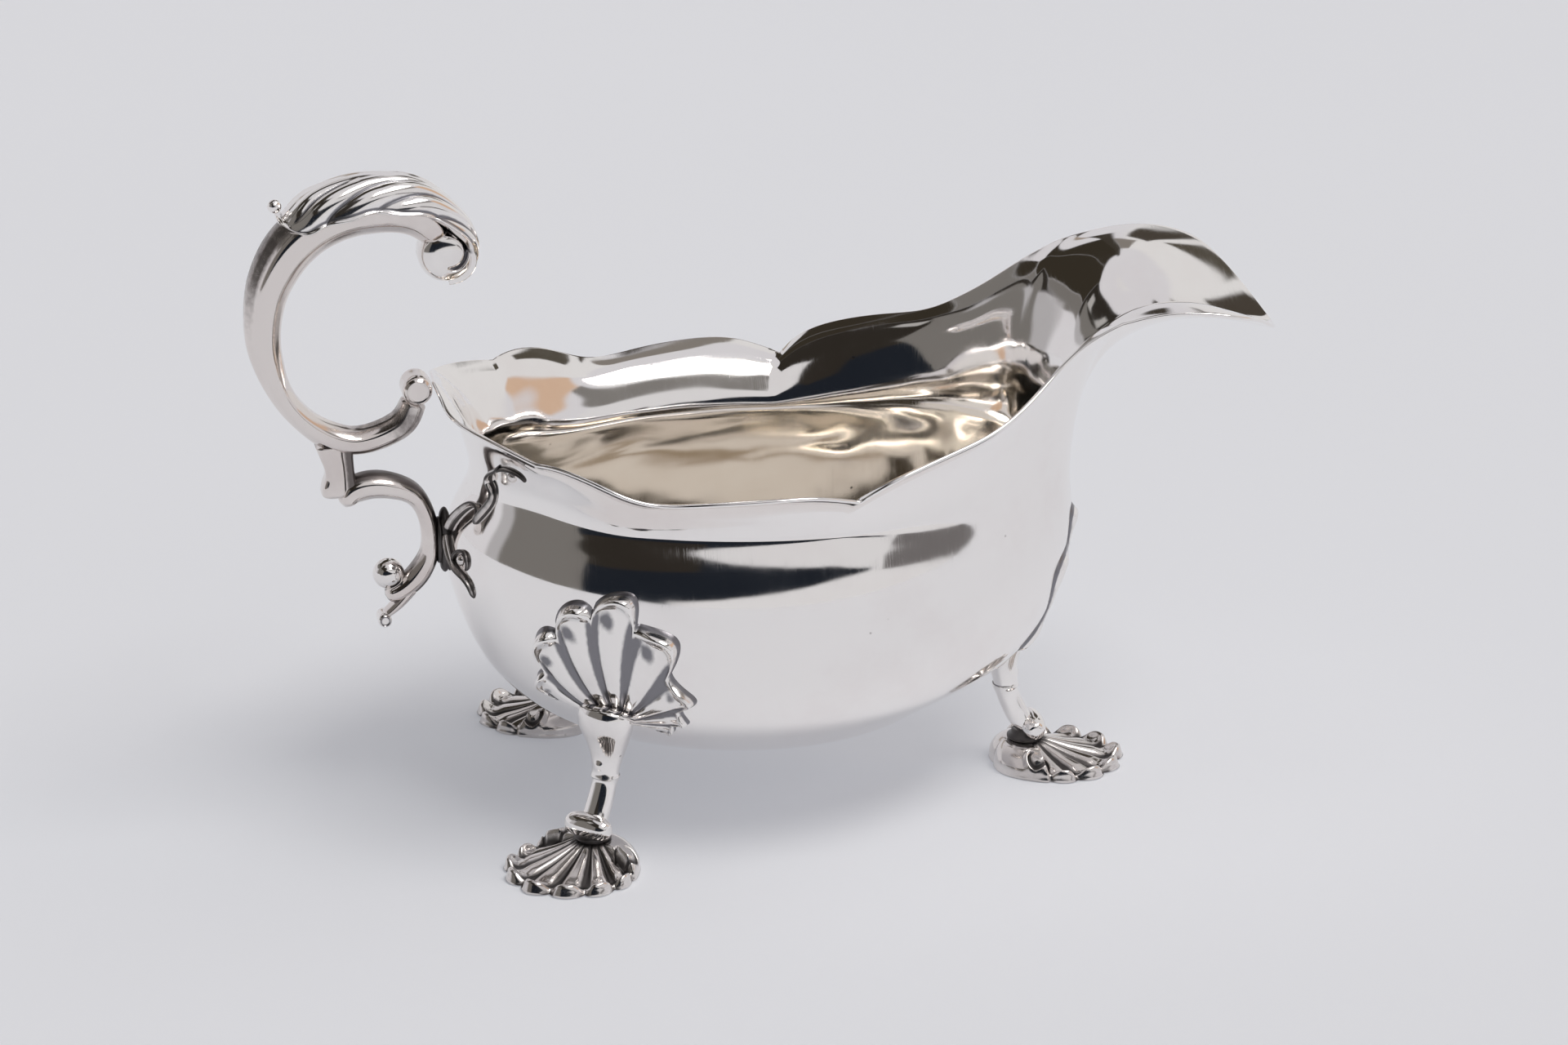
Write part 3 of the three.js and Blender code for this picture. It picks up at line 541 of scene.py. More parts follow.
def make_piece(name, shape, nodes, materials, dark=None):
    """Closed smooth mesh that stands for its CAD nodes; dark tells where it is darkened: tarnish in
    grooves and valleys, and in places painted shade and painted dark reflections.
    """
    points, faces = shape
    if volume_of(points, faces) < 0:
        faces = [tuple(reversed(face)) for face in faces]
    mesh = bpy.data.meshes.new(name)
    mesh.from_pydata((points * MM).tolist(), [], faces)
    mesh.polygons.foreach_set("use_smooth", [True] * len(faces))
    mesh.update()
    # Darkening per point: tarnish in the mesh's hollows, raised by dark, which adds painted shade and
    # painted dark reflections in places.
    tarnish_and_shade = recess_of(mesh)
    if dark is not None:
        tarnish_and_shade[: dark.size] = np.maximum(tarnish_and_shade[: dark.size], dark.ravel())
    mesh.attributes.new("tarnish_and_shade", "FLOAT", "POINT").data.foreach_set("value", tarnish_and_shade)
    for material in materials:
        mesh.materials.append(material)
    piece = add_object(name, mesh)
    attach(piece, "root")
    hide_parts(*nodes)
    return piece


# ------------------------ materials


class Tree:
    """Small helper that adds nodes to a node tree and links them."""

    def __init__(self, tree):
        self.tree = tree

    def add(self, kind, inputs=None, **settings):
        node = self.tree.nodes.new("ShaderNode" + kind)
        for key, value in settings.items():
            setattr(node, key, value)
        self.fill(node, inputs or {})
        return node

    def fill(self, node, inputs):
        """Links other nodes' outputs to a node's inputs, or sets the inputs to constants."""
        for key, value in inputs.items():
            if isinstance(value, bpy.types.NodeSocket):
                self.tree.links.new(value, node.inputs[key])
            else:
                node.inputs[key].default_value = value

    def noise(self, where, scale, detail=3, roughness=0.5, distortion=0.0):
        inputs = {"Vector": where, "Scale": scale, "Detail": detail, "Roughness": roughness,
                  "Distortion": distortion}
        return self.add("TexNoise", inputs).outputs["Fac"]

    def ramp(self, value, low, high, to_low=0.0, to_high=1.0):
        inputs = {"Value": value, "From Min": low, "From Max": high, "To Min": to_low,
                  "To Max": to_high}
        return self.add("MapRange", inputs, interpolation_type="SMOOTHSTEP").outputs["Result"]

    def math(self, operation, a, b=0.0):
        return self.add("Math", {0: a, 1: b}, operation=operation).outputs[0]

    def mix(self, share, a, b):
        node = self.add("Mix", data_type="RGBA")
        self.fill(node, {0: share, 6: a, 7: b})
        return node.outputs[2]


def new_material(name):
    """A material, a helper for its node tree, and its shader."""
    material = bpy.data.materials.new(name)
    material.use_nodes = True
    return material, Tree(material.node_tree), material.node_tree.nodes["Principled BSDF"]


def scratches(tree, where, turn, scale, seed):
    """Hairlines in one direction: noise drawn out very long, cut down to thin lines."""
    mapping = tree.add("Mapping", {"Vector": where, "Rotation": turn, "Location": (seed, 0, 0),
                                   "Scale": (scale, scale * 0.03, scale * 0.03)})
    lines = tree.noise(mapping.outputs["Vector"], 1, detail=1)
    return tree.ramp(tree.math("ABSOLUTE", tree.math("SUBTRACT", lines, 0.5)), 0, 0.012, 1, 0)


def silver(name, color, shade, tarnish, polish=0.07, wear=0.06, tarnish_and_shade_share=0.85):
    """Polished silver with clouds of faint tarnish, hairlines and pits; a per-point attribute darkens it
    with tarnish in hollows and with painted shade and painted dark reflections.
    """
    material, tree, shader = new_material(name)
    where = tree.add("TexCoord").outputs["Object"]
    tarnish_and_shade = tree.add("Attribute", attribute_name="tarnish_and_shade").outputs["Fac"]

    clouds = tree.ramp(tree.noise(where, 55, detail=5, roughness=0.6), 0.42, 0.72)
    base = tree.mix(tree.math("MULTIPLY", clouds, 0.6), (*color, 1), (*shade, 1))
    grain = tree.noise(where, 900, detail=2)
    # The tarnish colour also paints the shade and dark reflections that the attribute carries.
    deep = tree.math("ADD", tarnish_and_shade, tree.math("MULTIPLY", tree.math("SUBTRACT", grain, 0.5), 0.35))
    deep = tree.math("MULTIPLY", tree.ramp(deep, 0.12, 0.75), tarnish_and_shade_share)
    base = tree.mix(deep, base, (*tarnish, 1))
    pits = tree.add("TexVoronoi", {"Vector": where, "Scale": 260.0, "Randomness": 1.0})
    keep = tree.ramp(tree.noise(where, 120), 0.6, 0.66)
    pit = tree.math("MULTIPLY", tree.ramp(pits.outputs["Distance"], 0.03, 0.09, 1, 0), keep)
    base = tree.mix(tree.math("MULTIPLY", pit, 0.55), base, (0.16, 0.13, 0.12, 1))

    lines = tree.math("ADD", scratches(tree, where, (0.3, 0.2, 0.5), 1800, 1),
                      scratches(tree, where, (0.9, 0.4, -0.7), 1500, 7))
    lines = tree.math("ADD", lines, scratches(tree, where, (0.1, 1.2, 1.9), 1300, 13))
    patchy = tree.ramp(tree.noise(where, 85, detail=4), 0.35, 0.8, 0, wear)
    rough = tree.math("ADD", patchy, tree.math("MULTIPLY", deep, 0.25))
    rough = tree.math("ADD", rough, tree.math("MULTIPLY", lines, 0.03))
    rough = tree.math("ADD", rough, polish)

    height = tree.math("ADD", tree.noise(where, 140, detail=2), tree.math("MULTIPLY", lines, -0.02))
    height = tree.math("SUBTRACT", height, tree.math("MULTIPLY", pit, 0.3))
    relief = tree.add("Bump", {"Height": height, "Strength": 0.25, "Distance": 0.00006})
    tree.fill(shader, {"Metallic": 1.0, "Base Color": base, "Roughness": rough,
                       "Normal": relief.outputs["Normal"]})
    return material


def floor_material():
    """Pale paper; a faint glow of its own keeps the soft shadow as light as it should be."""
    material, tree, shader = new_material("paper_floor")
    where = tree.add("TexCoord").outputs["Object"]
    cloud = tree.noise(where, 3, detail=4)
    tone = tree.mix(cloud, (0.6, 0.605, 0.615, 1), (0.63, 0.635, 0.645, 1))
    tree.fill(shader, {"Base Color": tone, "Emission Color": (0.205, 0.212, 0.235, 1),
                       "Emission Strength": 1.0, "Roughness": 0.85, "Specular IOR Level": 0.2})
    return material


PLANISHED = silver("planished_silver", (0.945, 0.922, 0.905), (0.9, 0.86, 0.845),
                   (0.3, 0.27, 0.25), polish=0.05, tarnish_and_shade_share=0.3)
INSIDE = silver("warm_inside_silver", (0.94, 0.9, 0.84), (0.9, 0.85, 0.78), (0.3, 0.27, 0.22),
                polish=0.05, tarnish_and_shade_share=0.3)
HANDLED = silver("handled_silver", (0.82, 0.77, 0.74), (0.67, 0.6, 0.575),
                 (0.075, 0.062, 0.06), polish=0.1, wear=0.08)
CAST = silver("cast_and_chased_silver", (0.93, 0.905, 0.885), (0.8, 0.765, 0.75),
              (0.13, 0.13, 0.155), polish=0.08)
WORN = silver("darkened_silver", (0.8, 0.765, 0.745), (0.5, 0.46, 0.44), (0.05, 0.045, 0.045),
              polish=0.12, wear=0.1, tarnish_and_shade_share=0.93)

# ------------------------ the bowl and the handle


def make_bowl():
    """The bowl; its inside below the neck is tinted warmer."""
    bowl = make_piece("bowl_body", bowl_shape(), ["bowl"], [PLANISHED, INSIDE])
    per_row = len(bowl_columns())
    below_neck = int(INSIDE_SHARE * BOWL_ROWS) * per_row
    # The last faces close the bottom: one outside, then one inside, for each column.
    faces = list(bowl.data.polygons)
    for face in faces[-below_neck - per_row:]:
        face.material_index = 1
    for underside in faces[-2 * per_row::2]:
        underside.material_index = 0


def scroll_section(t, angle):
    """Faceted bar; under the leaf's tip a cove is cut between its back and its side."""
    cove = bump(np.abs(angle_from_zero(angle)), 0.72, 0.3) * bump(t, 0.6, 0.13)
    return faceted(angle) * 0.985 * (1 - 0.13 * cove)


def make_upper_scroll():
    loops = bar_loops(UPPER_SCROLL, in_handle_plane, scroll_section, rows=300, columns=96,
                      round_ends=(0.008, 0.05))
    t, off_back = bar_grid(loops)
    # Painted dark reflection on the back bevel under the leaf's tip, and painted shade on the inner face
    # of the lower arm, under the loop.
    dark = 0.6 * (1 - smooth_step(off_back, 0.7, 1.2)) * bump(t, 0.62, 0.13)
    dark = np.maximum(dark, 0.5 * smooth_step(off_back, 2.2, 2.6) * bump(t, 0.1, 0.14))
    # Darker all round where the scroll leaves the rim roll.
    dark = np.maximum(dark, 0.55 * bump(t, 0.05, 0.06))
    make_piece("upper_scroll", closed_tube(loops), ["handle_upper_scroll"],
               [HANDLED], dark)


def roll_outline(radius, half, dish):
    """Outline of a short roll whose ends are slightly hollow inside a rounded border."""
    soft = radius * 0.28
    side = [(0, -half + dish), (radius * 0.55, -half + dish), (radius * 0.72, -half),
            (radius - soft, -half - 0.02), (radius, -half + soft)]
    waist = [(radius * 0.97, 0)]
    return rounded(side + waist + [(r, -h) for r, h in reversed(side)])


def make_rim_roll():
    shape = turned_across(roll_outline(*RIM_ROLL_SIZE, 0.15), RIM_ROLL)
    make_piece("rim_roll", shape, ["handle_rim_roll"], [HANDLED])


def volute_face(radius, columns=160, rows=60):
    """One side of the volute: a ball boss with a groove that coils in over its top."""
    turn = np.linspace(0, 2 * np.pi, columns, endpoint=False)
    share, turn = np.meshgrid(np.linspace(0.02, 1, rows), turn, indexing="ij")
    start, sweep = np.radians(VOLUTE_COIL)
    wound = ((start - turn) % (2 * np.pi)) / sweep
    coil = 1.04 - 0.66 * wound**0.9
    depth = smooth_step(wound, -0.05, 0.12) * (1 - smooth_step(wound, 0.78, 1))
    groove = bump(share, coil, 0.075) * depth
    height = 3.3 * np.sqrt(1 - share**2.7) - 1.1 * groove
    return share * radius, turn, height, groove


def make_volute():
    radius, half = VOLUTE_SIZE
    reach, turn, height, groove = volute_face(radius)
    x = VOLUTE[0] + reach * np.cos(turn)
    z = VOLUTE[1] + reach * np.sin(turn)
    side = half - 3.3 + height
    near = np.stack([x, -side, z], -1)
    far = np.stack([x, side, z], -1)[::-1]
    shape = closed_tube(np.vstack([near, far]))
    dark = np.vstack([groove, groove[::-1]])
    make_piece("thumb_scroll_end", shape, ["thumb_volute"], [CAST], dark)


def leaf_surface(t, across, lift):
    """Points over the top of the scroll: t from tip to volute, across from -1 to 1."""
    x, z, crest, depth, width, reach = np.moveaxis(
        along(LEAF, t.ravel()).reshape(t.shape + (6,)), -1, 0)
    flute = LEAF_FLUTES * (t + LEAF_SWEEP)
    waved = reach * (1 + 0.03 * np.cos(2 * np.pi * (flute - 0.5)))
    side = np.radians(waved * across)
    crest = np.radians(crest)
    radius = oval(side)
    rise = (depth + lift) * radius * np.cos(side)
    y = (width + lift) * radius * np.sin(side)
    return np.stack([x + rise * np.cos(crest), y, z + rise * np.sin(crest)], -1)


def make_leaf():
    t, across = np.meshgrid(np.linspace(0, 1, 360), np.linspace(-1, 1, 121), indexing="ij")
    edge = np.abs(across)
    taper = smooth_step(t, 0.03, 0.2) * (0.4 + 0.6 * (1 - smooth_step(t, 0.66, 0.95)))
    part = LEAF_FLUTES * (t + LEAF_SWEEP * (1 - (1 - edge) ** 1.5))
    flutes = 1 - (1 - rib(part, 0.75)) * (1 - smooth_step(t, 0.8, 0.92))
    spread = smooth_step(edge, 0.02, 0.3)
    lift = 0.4 + taper * (0.25 + 0.9 * flutes * spread + 0.75 * (1 - spread))
    border = bump(edge, 0.955, 0.035)
    lift += 0.5 * border * smooth_step(t, 0, 0.05)
    curl = bump(t, 0.022, 0.02)
    lift += 0.9 * curl
    lift *= np.sqrt(1 - np.clip((edge - 0.95) / 0.055, 0, 1) ** 2)
    lift *= np.sqrt(np.clip(t / 0.012, 0.05, 1))
    upper = leaf_surface(t, across, lift)
    lower = leaf_surface(t, across, -0.5)
    dark = smooth_step(1 - flutes, 0.45, 0.95) * spread * taper * (1 - border)
    dark = np.maximum(dark, 0.9 * bump(edge, 0.875, 0.03) * taper)
    make_piece("acanthus_leaf", closed_sheet(upper, lower), ["handle_leaf"],
               [CAST], dark)


def make_handle_balls():
    bead = turned_across(ball_outline(LEAF_BEAD_RADIUS), LEAF_BEAD, 40)
    make_piece("leaf_tip_bead", bead, ["leaf_bead"], [CAST])
    ball = turned_across(ball_outline(LOWER_BALL_RADIUS, 0.03), LOWER_BALL)
    make_piece("lower_scroll_boss", ball, ["lower_scroll_ball"], [CAST])
    tail = turned_across(roll_outline(*TAIL_ROLL_SIZE, 0.2), TAIL_ROLL, 40)
    make_piece("tail_curl", tail, ["tail_roll"], [CAST])


def plain_section(t, angle):
    return oval(angle)


def faceted_section(t, angle):
    return faceted(angle) * 0.985


def stub_section(t, angle):
    """Squarish post, parted by a groove at each side into a column and a block."""
    groove = bump(np.abs(angle_from_zero(angle)), 1.12, 0.2)
    return oval(angle, 5) * (1 - 0.16 * groove)


def make_lower_handle():
    loops = bar_loops(STUB, in_handle_plane, stub_section, rows=60, round_ends=(0, 0.12))
    off_back = bar_grid(loops)[1]
    # Painted shade over the post's back face.
    make_piece("stub_post", closed_tube(loops), ["handle_stub"], [HANDLED],
               0.8 * (1 - smooth_step(off_back, 1.0, 1.15)))
    loops = bar_loops(LOWER_SCROLL, in_handle_plane, faceted_section, rows=200,
                      round_ends=(0.05, 0.04))
    t, off_back = bar_grid(loops)
    # Painted shade on the scroll's back face, and on its inner face along its lower part.
    dark = 0.85 * (1 - smooth_step(off_back, 0.7, 1.1)) * smooth_step(t, 0.02, 0.1)
    dark = np.maximum(dark, 0.6 * smooth_step(off_back, 2.3, 2.8) * smooth_step(t, 0.55, 0.8))
    make_piece("lower_scroll", closed_tube(loops), ["handle_lower_scroll"],
               [HANDLED], dark)
    loops = bar_loops(TAIL, in_handle_plane, plain_section, rows=60, round_ends=(0.1, 0.1))
    make_piece("tail_tongue", closed_tube(loops), ["lower_scroll_tail"],
               [HANDLED])


def make_collar():
    """Two rings on edge, side by side, between the lower scroll and the bracket."""
    wide, broad, tall = COLLAR_SIZE
    ring = [(0.62, 0), (0.9, 0.03), (1, 0.13), (1, 0.33), (0.9, 0.45)]
    outline = ring + [(0.66, 0.5)] + [(r, 1 - h) for r, h in reversed(ring)]
    outline = rounded([(0, 0)] + outline + [(0, 1)])
    shape = turned(outline * [1, wide], COLLAR, (1, 0, 0), squash=(broad, tall))
    make_piece("collar_rings", shape, ["handle_collar"], [WORN],
               np.full(len(shape[0]), 0.8))


# ------------------------ the wall bracket


def laid_arm(arm, side, height, rows=110, columns=32):
    """Scrolling arm that lies on the bowl; height stretches its rise from the wall. Also gives where
    painted shade goes: the half of the arm towards the wall.
    """
    t = np.linspace(0, 1, rows)
    around, v, half, rise = along(arm, t).T
    around = side * around
    centre = bowl_points(around, v)
    out = bowl_frame(around, v)[2]
    way = unit(np.gradient(centre, axis=0))
    across = unit(np.cross(way, out))
    full = np.sqrt(1 - (1 - np.clip(np.minimum(t, 1 - t) / 0.07, 0.06, 1)) ** 2)
    angle = np.linspace(0, 2 * np.pi, columns, endpoint=False)
    wide = ((0.8 - 0.3 * t) * half * full)[:, None, None] * np.cos(angle)[:, None] * across[:, None]
    swell = 0.35 + 0.65 * np.sin(angle)
    lift = ((height * rise * full)[:, None] * swell)[..., None] * out[:, None]
    return closed_tube(centre[:, None] + wide + lift), np.tile(swell < 0.35, (rows, 1))


def laid_bead(around, v, radius, rise):
    centre = bowl_points(around, v)
    out = bowl_frame(around, v)[2]
    return turned(ball_outline(1) * [radius, rise], centre, out, columns=32)


def make_bracket():
    """Scrollwork on the near side; the far side repeats only its lowest arm."""
    shapes, dark = [], []
    near_arms = (BRACKET_ARCH, BRACKET_STEM, BRACKET_TOP, BRACKET_FOOT, BRACKET_CURL)
    for side, height, arms in ((-1, NEAR_RISE, near_arms), (1, FAR_RISE, (BRACKET_FOOT,))):
        for arm in arms:
            shape, shadow = laid_arm(arm, side, height)
            shapes.append(shape)
            # Painted shade on each arm's half towards the wall and at the middles of its two ends.
            dark.append(np.append(shadow, [1, 1]) * 1.0)
    for around, v, radius, rise in BRACKET_BEADS:
        shapes.append(laid_bead(-around, v, radius, rise))
        dark.append(np.zeros(len(shapes[-1][0])))
    plate = rounded([(0, -1), (0.8, -1), (1, -0.4), (1, 0.3), (0.7, 1), (0, 1)])
    thick, broad, tall = PLATE_SIZE
    shapes.append(turned(plate * [1, thick], PLATE, (1, 0, 0), squash=(broad, tall)))
    dark.append(np.full(len(shapes[-1][0]), 0.8))
    make_piece("bracket_scrollwork", joined(*shapes), ["wall_bracket"], [WORN],
               np.concatenate(dark))


# ------------------------ the legs


def leg_place(leg):
    toe = unit(np.array(leg["toe"], float))
    root = leg["root"]

    def place(out, side, z):
        out, side, z = np.broadcast_arrays(out, side, z)
        x = root[0] + out * toe[0] - side * toe[1]
        y = root[1] + out * toe[1] + side * toe[0]
        return np.stack([x, y, z], -1)

    return place


def shank_section(t, angle):
    """Plain oval with a small proud boss on its outer side."""
    across = angle_from_zero(angle - np.pi)
    boss = bump(across, 0, 0.4) * bump(t, BOSS_PLACE, 0.032)
    return oval(angle, 2.2) * (1 + 0.2 * boss)


def make_shank(name, leg, tree):
    loops = bar_loops(SHANK, leg_place(leg), shank_section, rows=150, columns=64,
                      round_ends=(0.05, 0.06))
    shape = closed_tube(kept_outside(loops, tree))
    make_piece(name + "_leg", shape, [name + "_shank"], [CAST])


def make_ankle(name, leg):
    """The shank's end rolled up on itself: a barrel across the leg."""
    out, z, radius, half = ANKLE_ROLL
    place = leg_place(leg)
    centre = place(out, 0.0, z)
    axis = place(out, 1.0, z) - centre
    outline = [(0, -half), (radius * 0.5, -half), (radius * 0.85, -half * 0.75),
               (radius, -half * 0.35), (radius * 1.02, 0)]
    outline = rounded(outline + [(r, -h) for r, h in outline[-2::-1]])
    shape = turned(outline, centre, axis)
    make_piece(name + "_ankle_roll", shape, [name + "_ankle_ring"], [CAST])


def foot_edge(turn):
    """Reach of the foot's edge; turn is 0 at the toe and 1 at the heel."""
    knots, reach = zip(*FOOT_REACH)
    return (spline_weights(knots, np.abs(turn).ravel()) @ np.array(reach)).reshape(turn.shape)


def foot_relief(turn, share):
    """Radius and height of the foot's upper face, and how much of a valley lies there."""
    fan = 1 - smooth_step(np.abs(turn), FOOT_FAN - 0.02, FOOT_FAN + 0.02)
    part = (turn + FOOT_FAN) / (2 * FOOT_FAN) * FOOT_LOBES
    wave = rib(part, 1)
    ridge = smooth_step(wave, 0.1, 0.95)
    radius = foot_edge(turn) * (0.975 - fan * (0.09 - 0.1 * rib(part, 0.6)))
    radius = FOOT_HOLE + (radius - FOOT_HOLE) * share
    fall = (1 - share) ** 1.7
    dome = (1 - share**2.8) ** 0.6
    z = FOOT_HEM + (FOOT_TOP - FOOT_HEM) * (fan * fall + (1 - fan) * dome)
    z += fan * (ridge - 0.3) * 1.15 * share**0.6 * (1 - 0.25 * share)
    z += fan * (0.3 + 0.8 * wave) * bump(share, 0.92, 0.06)
    z -= fan * 0.45 * wave * bump(share, 0.77, 0.08)
    valley = fan * (1 - smooth_step(wave, 0.2, 0.85)) * (1 - 0.8 * bump(share, 0.95, 0.04))
    return radius, z, valley


def foot_curls(x, y):
    """The curl at each side of the heel: its rise, and the groove that winds in it."""
    rise, groove = 0, 0
    for side in (-1, 1):
        right, up = x - FOOT_CURL[0], side * y - FOOT_CURL[1]
        away, around = np.hypot(right, up), np.arctan2(up, right)
        coil = 2.5 - 0.19 * ((around + 2.2) % (2 * np.pi))
        line = bump(away, coil, 0.34)
        rise = rise + 0.75 * smooth_step(2.9 - away, 0, 1) - 0.9 * line
        groove = groove + line
    return rise, groove


def make_foot(name, leg):
    """Fluted fan towards the toe, and a smooth round heel that curls at both sides."""
    turn, share = np.meshgrid(np.linspace(-1, 1, 400, endpoint=False), np.linspace(0, 1, 70))
    radius, z, valley = foot_relief(turn, share)
    angle = turn * np.pi
    x, y = radius * np.cos(angle), radius * np.sin(angle)
    rise, groove = foot_curls(x, y)
    z += rise
    tuck = smooth_step(share, 0.955, 1)
    z = z * (1 - tuck) + 0.3 * tuck
    place = leg_place(leg)
    top = place(ANKLE_OUT + x, y, z)
    hem = place(ANKLE_OUT + x[-1:] * 0.97, y[-1:] * 0.97, 0.0)
    ring = angle[0]
    collar = [place(ANKLE_OUT + r * np.cos(ring), r * np.sin(ring), FOOT_TOP + lift)
              for r, lift in FOOT_COLLAR]
    loops = np.vstack([np.array(collar), top, hem])
    dark = np.maximum(valley, np.clip(groove, 0, 1))
    dark = np.maximum(dark, 0.75 * (1 - smooth_step(share, 0.02, 0.16)))
    dark = np.vstack([np.full((len(FOOT_COLLAR), dark.shape[1]), 0.85), dark])
    make_piece(name + "_foot", closed_tube(loops), [name + "_shell_foot"],
               [WORN], dark)


def knee_grid(leg, rows=84, per_lobe=22):
    """Flat plan of the fan shell: side and climb from the hub, place in the lobe, share out."""
    count = len(KNEE_REACH)
    spot = np.linspace(0, count, count * per_lobe + 1)
    index = np.minimum(spot.astype(int), count - 1)
    part = spot - index
    wave = np.sin(np.pi * part).clip(0)
    tips = np.array(KNEE_REACH)
    notches = 0.9 * np.hstack([tips[0] * 0.85, (tips[1:] + tips[:-1]) / 2, tips[-1] * 0.85])
    low = notches[index] * (1 - part) + notches[index + 1] * part
    edge = (low + (tips[index] - low) * wave**0.6) * leg["size"]
    edges = np.array(KNEE_EDGES, float)
    angle = edges[index] * (1 - part) + edges[index + 1] * part
    share = np.append(0.06 + 0.94 * np.linspace(0, 1, rows), 1.02)
    share, wave = np.meshgrid(share, wave, indexing="ij")
    angle = np.radians(angle + (3 + 3.5 * wave) * share**4)
    part = np.tile(part, (len(share), 1))
    return share * edge * np.cos(angle), share * edge * np.sin(angle), part, share


def make_knee(name, leg):
    """Scalloped fan: convex ribs, flat dark valleys and a rolled edge, thickest at the tips."""
    around, up = leg["hub"]
    along_it, upward, _ = bowl_frame(around, up)
    length = np.linalg.norm(upward)
    higher = np.linalg.norm(bowl_frame(around, min(0.9, up + 10 / length))[1])
    side, climb, part, share = knee_grid(leg)
    wave = np.sin(np.pi * part).clip(0)
    mirror = 1 if around < 0 else -1
    places = around + mirror * side / np.linalg.norm(along_it)
    v = up + climb * 2 / (length + higher)
    spot = bowl_points(places, v)
    out = bowl_frame(places, v)[2]
    ridge = smooth_step(wave, 0.2, 0.95)
    border = bump(share, 0.955, 0.03)
    hollow = wave**0.8 * bump(share, 0.83, 0.085)
    # Painted dark reflection: a crescent inside each long lobe's tip, just off its middle.
    dark_reflection_crescent = bump(part, 0.36 - 2 * (share - 0.84), 0.14) * bump(share, 0.85, 0.06)
    lift = 0.4 + ridge * (0.3 + 0.7 * share) + border * (0.5 + 0.8 * wave) - 0.3 * hollow
    reach = np.hypot(side, climb)[-1] / (np.max(KNEE_REACH) * leg["size"])
    lift *= leg["relief"] * np.clip(1.25 * reach, 0.4, 1)
    lift *= np.sqrt(1 - np.clip((share - 0.96) / 0.045, 0, 1) ** 2)
    lift[-1] = 0.06
    upper = spot + out * lift[..., None]
    lower = spot - out * 0.3
    valley = (1 - smooth_step(wave, 0.3, 0.75)) * smooth_step(share, 0.1, 0.3) * (1 - border)
    dark = np.maximum(valley * 0.9, dark_reflection_crescent * smooth_step(reach, 0.5, 0.8))
    # Painted shadow all round the shell's edge and its skirt, where it meets the bowl.
    dark[-2:] = 1
    make_piece(name + "_knee_fan", closed_sheet(upper, lower), [name + "_knee_shell"],
               [CAST], dark)


def make_legs():
    tree = outside_tree()
    for name, leg in LEGS.items():
        make_knee(name, leg)
        make_shank(name, leg, tree)
        make_ankle(name, leg)
        make_foot(name, leg)


# ------------------------ floor, light and camera


FLOOR_HALF = 6                  # metres from the middle to each side
CAMERA_AZIMUTH = -9.83          # degrees from the -Y side towards +X
CAMERA_ELEVATION = 20
CAMERA_AIM = (3.75, 0, 51.7)    # the spot it looks at
CAMERA_AWAY = 1384.6            # its distance from that spot
LENS = 168.75                   # on a sensor 36 wide


def make_floor():
    mesh = bpy.data.meshes.new("floor")
    corners = [(x * FLOOR_HALF, y * FLOOR_HALF, 0) for x, y in ((-1, -1), (1, -1), (1, 1), (-1, 1))]
    mesh.from_pydata(corners, [], [(0, 1, 2, 3)])
    mesh.materials.append(floor_material())
    add_object("floor", mesh)


# What the silver mirrors, painted in order over a pale tent. Degrees: azimuth from and to
# (0 towards the viewer, 90 to the right), elevation from and to, how fast the elevations fall
# with azimuth, softness of the edges, and the light's colour.
TENT = (0.66, 0.65, 0.675)
SURROUNDINGS = [
    (103, 165, -1, 60, 0, 6, (0.72, 0.71, 0.71)),
    (-62, 28, -9, 42, 0, 2, (0.012, 0.015, 0.021)),
    (-190, -146, 21, 26, 0, 3, (0.3, 0.25, 0.2)),
    (-190, -140, 41, 68, 0, 3, (0.034, 0.028, 0.02)),
    (-140, -104, 36, 68, 0, 2, (0.034, 0.028, 0.02)),
    (-140, -104, 21, 36, 0, 2, (0.175, 0.165, 0.155)),
    (149, 164, 21.5, 43, 0.35, 2, (0.06, 0.05, 0.04)),
    (136, 144.5, 23, 36, 0, 2, (0.08, 0.07, 0.055)),
    (157, 171, 44, 60, 0, 3, (0.22, 0.2, 0.18)),
    (171, 190, 24, 70, 0, 3, (0.045, 0.038, 0.03)),
    (-104, -16, 26, 67, 0, 2, (0.026, 0.022, 0.018)),
    (-92, -78, 44, 57, 0, 3, (0.4, 0.39, 0.38)),
    (-98, -51, -9, 45, 0.3, 1.5, (0.175, 0.165, 0.155)),
    (-104, -94, -9, 27, 0, 4, (0.42, 0.41, 0.42)),
    (-32, 62, 42, 115, 0.48, 1.5, (0.68, 0.67, 0.68)),
    (-24, 62, -60, 1.5, -0.2, 2.5, (0.70, 0.69, 0.70)),
    (31, 60, 10.3, 17, 0.5, 1, (0.15, 0.14, 0.14)),
    (6, 79, 39, 48, 0, 3, (0.2, 0.19, 0.18)),
    (79, 103, 17, 46, 0, 6, (0.62, 0.44, 0.32)),
    (9, 93, 48.5, 68.5, -0.08, 1, (5.8, 5.7, 5.6)),
]


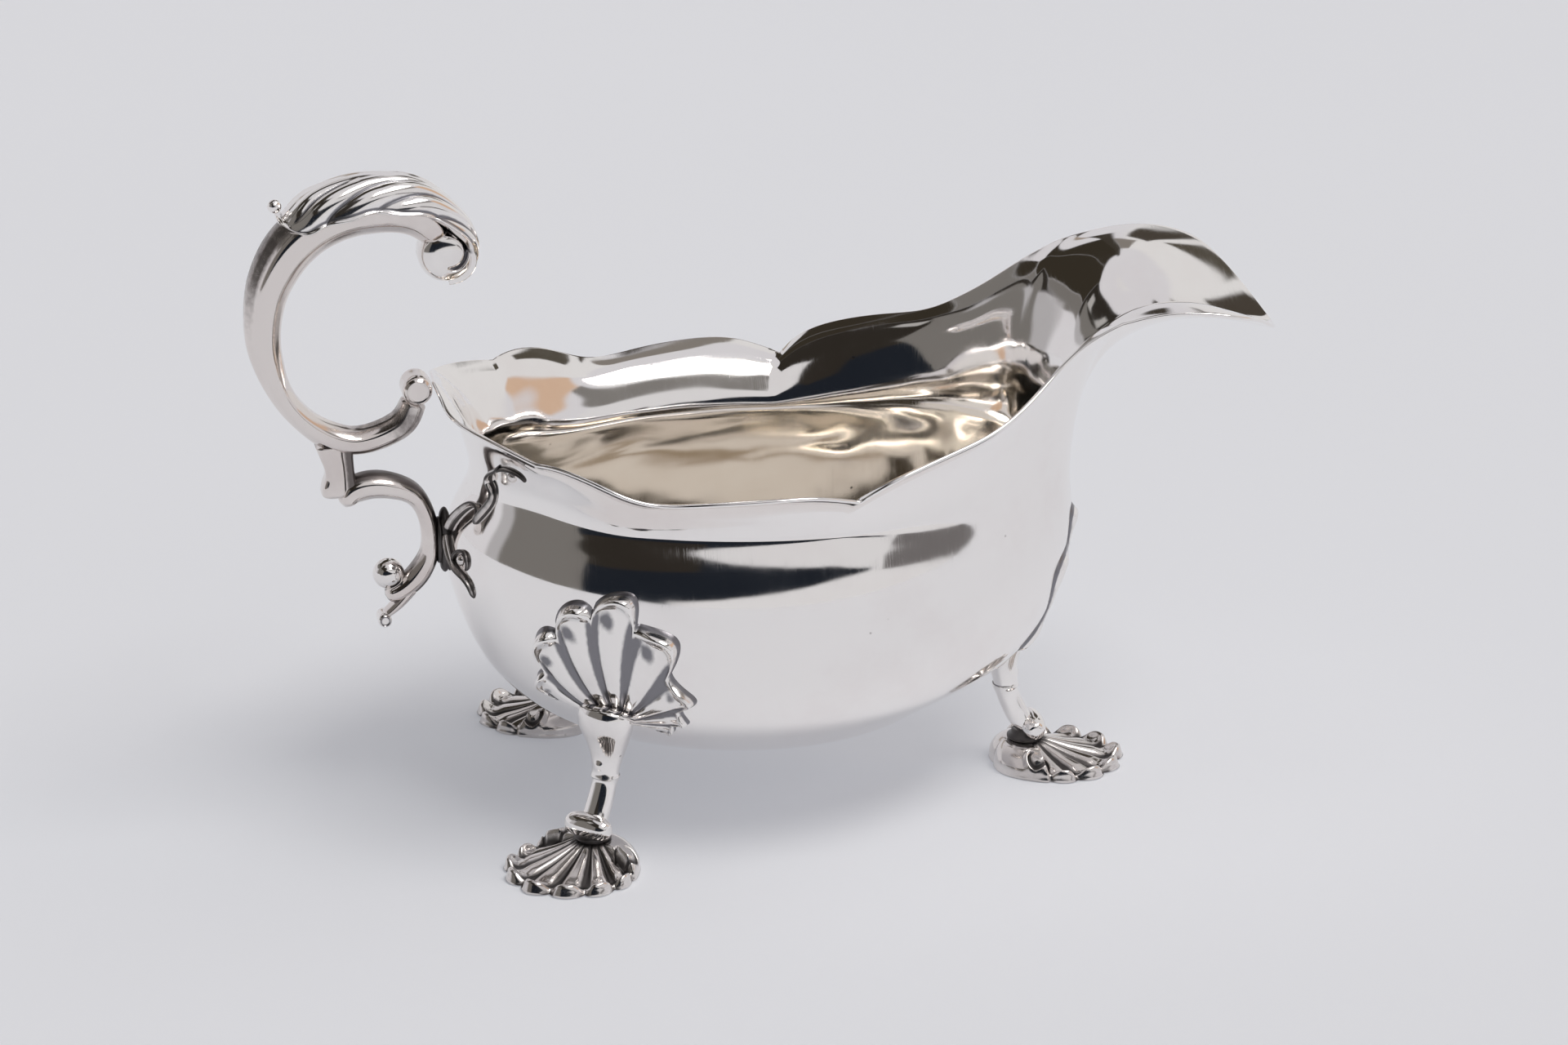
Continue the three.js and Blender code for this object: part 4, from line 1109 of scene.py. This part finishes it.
def patch_mask(tree, azimuth, elevation, patch):
    """1 inside a patch of the surroundings, 0 outside, with soft edges."""
    left, right, low, high, fall, soft, _ = patch
    drop = tree.math("MULTIPLY", tree.math("SUBTRACT", azimuth, left), fall)
    level = tree.math("ADD", elevation, drop)
    edges = ((azimuth, left, 0, 1), (azimuth, right, 1, 0), (level, low, 0, 1), (level, high, 1, 0))
    sides = [tree.ramp(value, edge - soft / 2, edge + soft / 2, start, end)
             for value, edge, start, end in edges]
    mask = sides[0]
    for side in sides[1:]:
        mask = tree.math("MULTIPLY", mask, side)
    return mask


def make_world():
    world = bpy.data.worlds.new("tent")
    world.use_nodes = True
    bpy.context.scene.world = world
    tree = Tree(world.node_tree)
    way = tree.add("SeparateXYZ", {"Vector": tree.add("TexCoord").outputs["Generated"]}).outputs
    front = tree.math("MULTIPLY", way["Y"], -1.0)
    azimuth = tree.math("DEGREES", tree.math("ARCTAN2", way["X"], front))
    elevation = tree.math("DEGREES", tree.math("ARCSINE", way["Z"]))
    color = (*TENT, 1)
    for patch in SURROUNDINGS:
        color = tree.mix(patch_mask(tree, azimuth, elevation, patch), color, (*patch[-1], 1))
    world.node_tree.links.new(color, world.node_tree.nodes["Background"].inputs["Color"])


def make_camera():
    azimuth, elevation = math.radians(CAMERA_AZIMUTH), math.radians(CAMERA_ELEVATION)
    back = Vector((math.sin(azimuth) * math.cos(elevation),
                   -math.cos(azimuth) * math.cos(elevation), math.sin(elevation)))
    data = bpy.data.cameras.new("camera")
    data.sensor_width = 36
    data.lens = LENS
    data.clip_start, data.clip_end = 0.05, 50
    camera = add_object("camera", data)
    camera.location = Vector(CAMERA_AIM) * MM + back * CAMERA_AWAY * MM
    camera.rotation_mode = "QUATERNION"
    camera.rotation_quaternion = (-back).to_track_quat("-Z", "Y")
    bpy.context.scene.camera = camera
    bpy.context.scene.view_settings.view_transform = "Standard"


make_bowl()
make_upper_scroll()
make_rim_roll()
make_volute()
make_leaf()
make_handle_balls()
make_lower_handle()
make_collar()
make_bracket()
make_legs()
make_floor()
make_world()
make_camera()
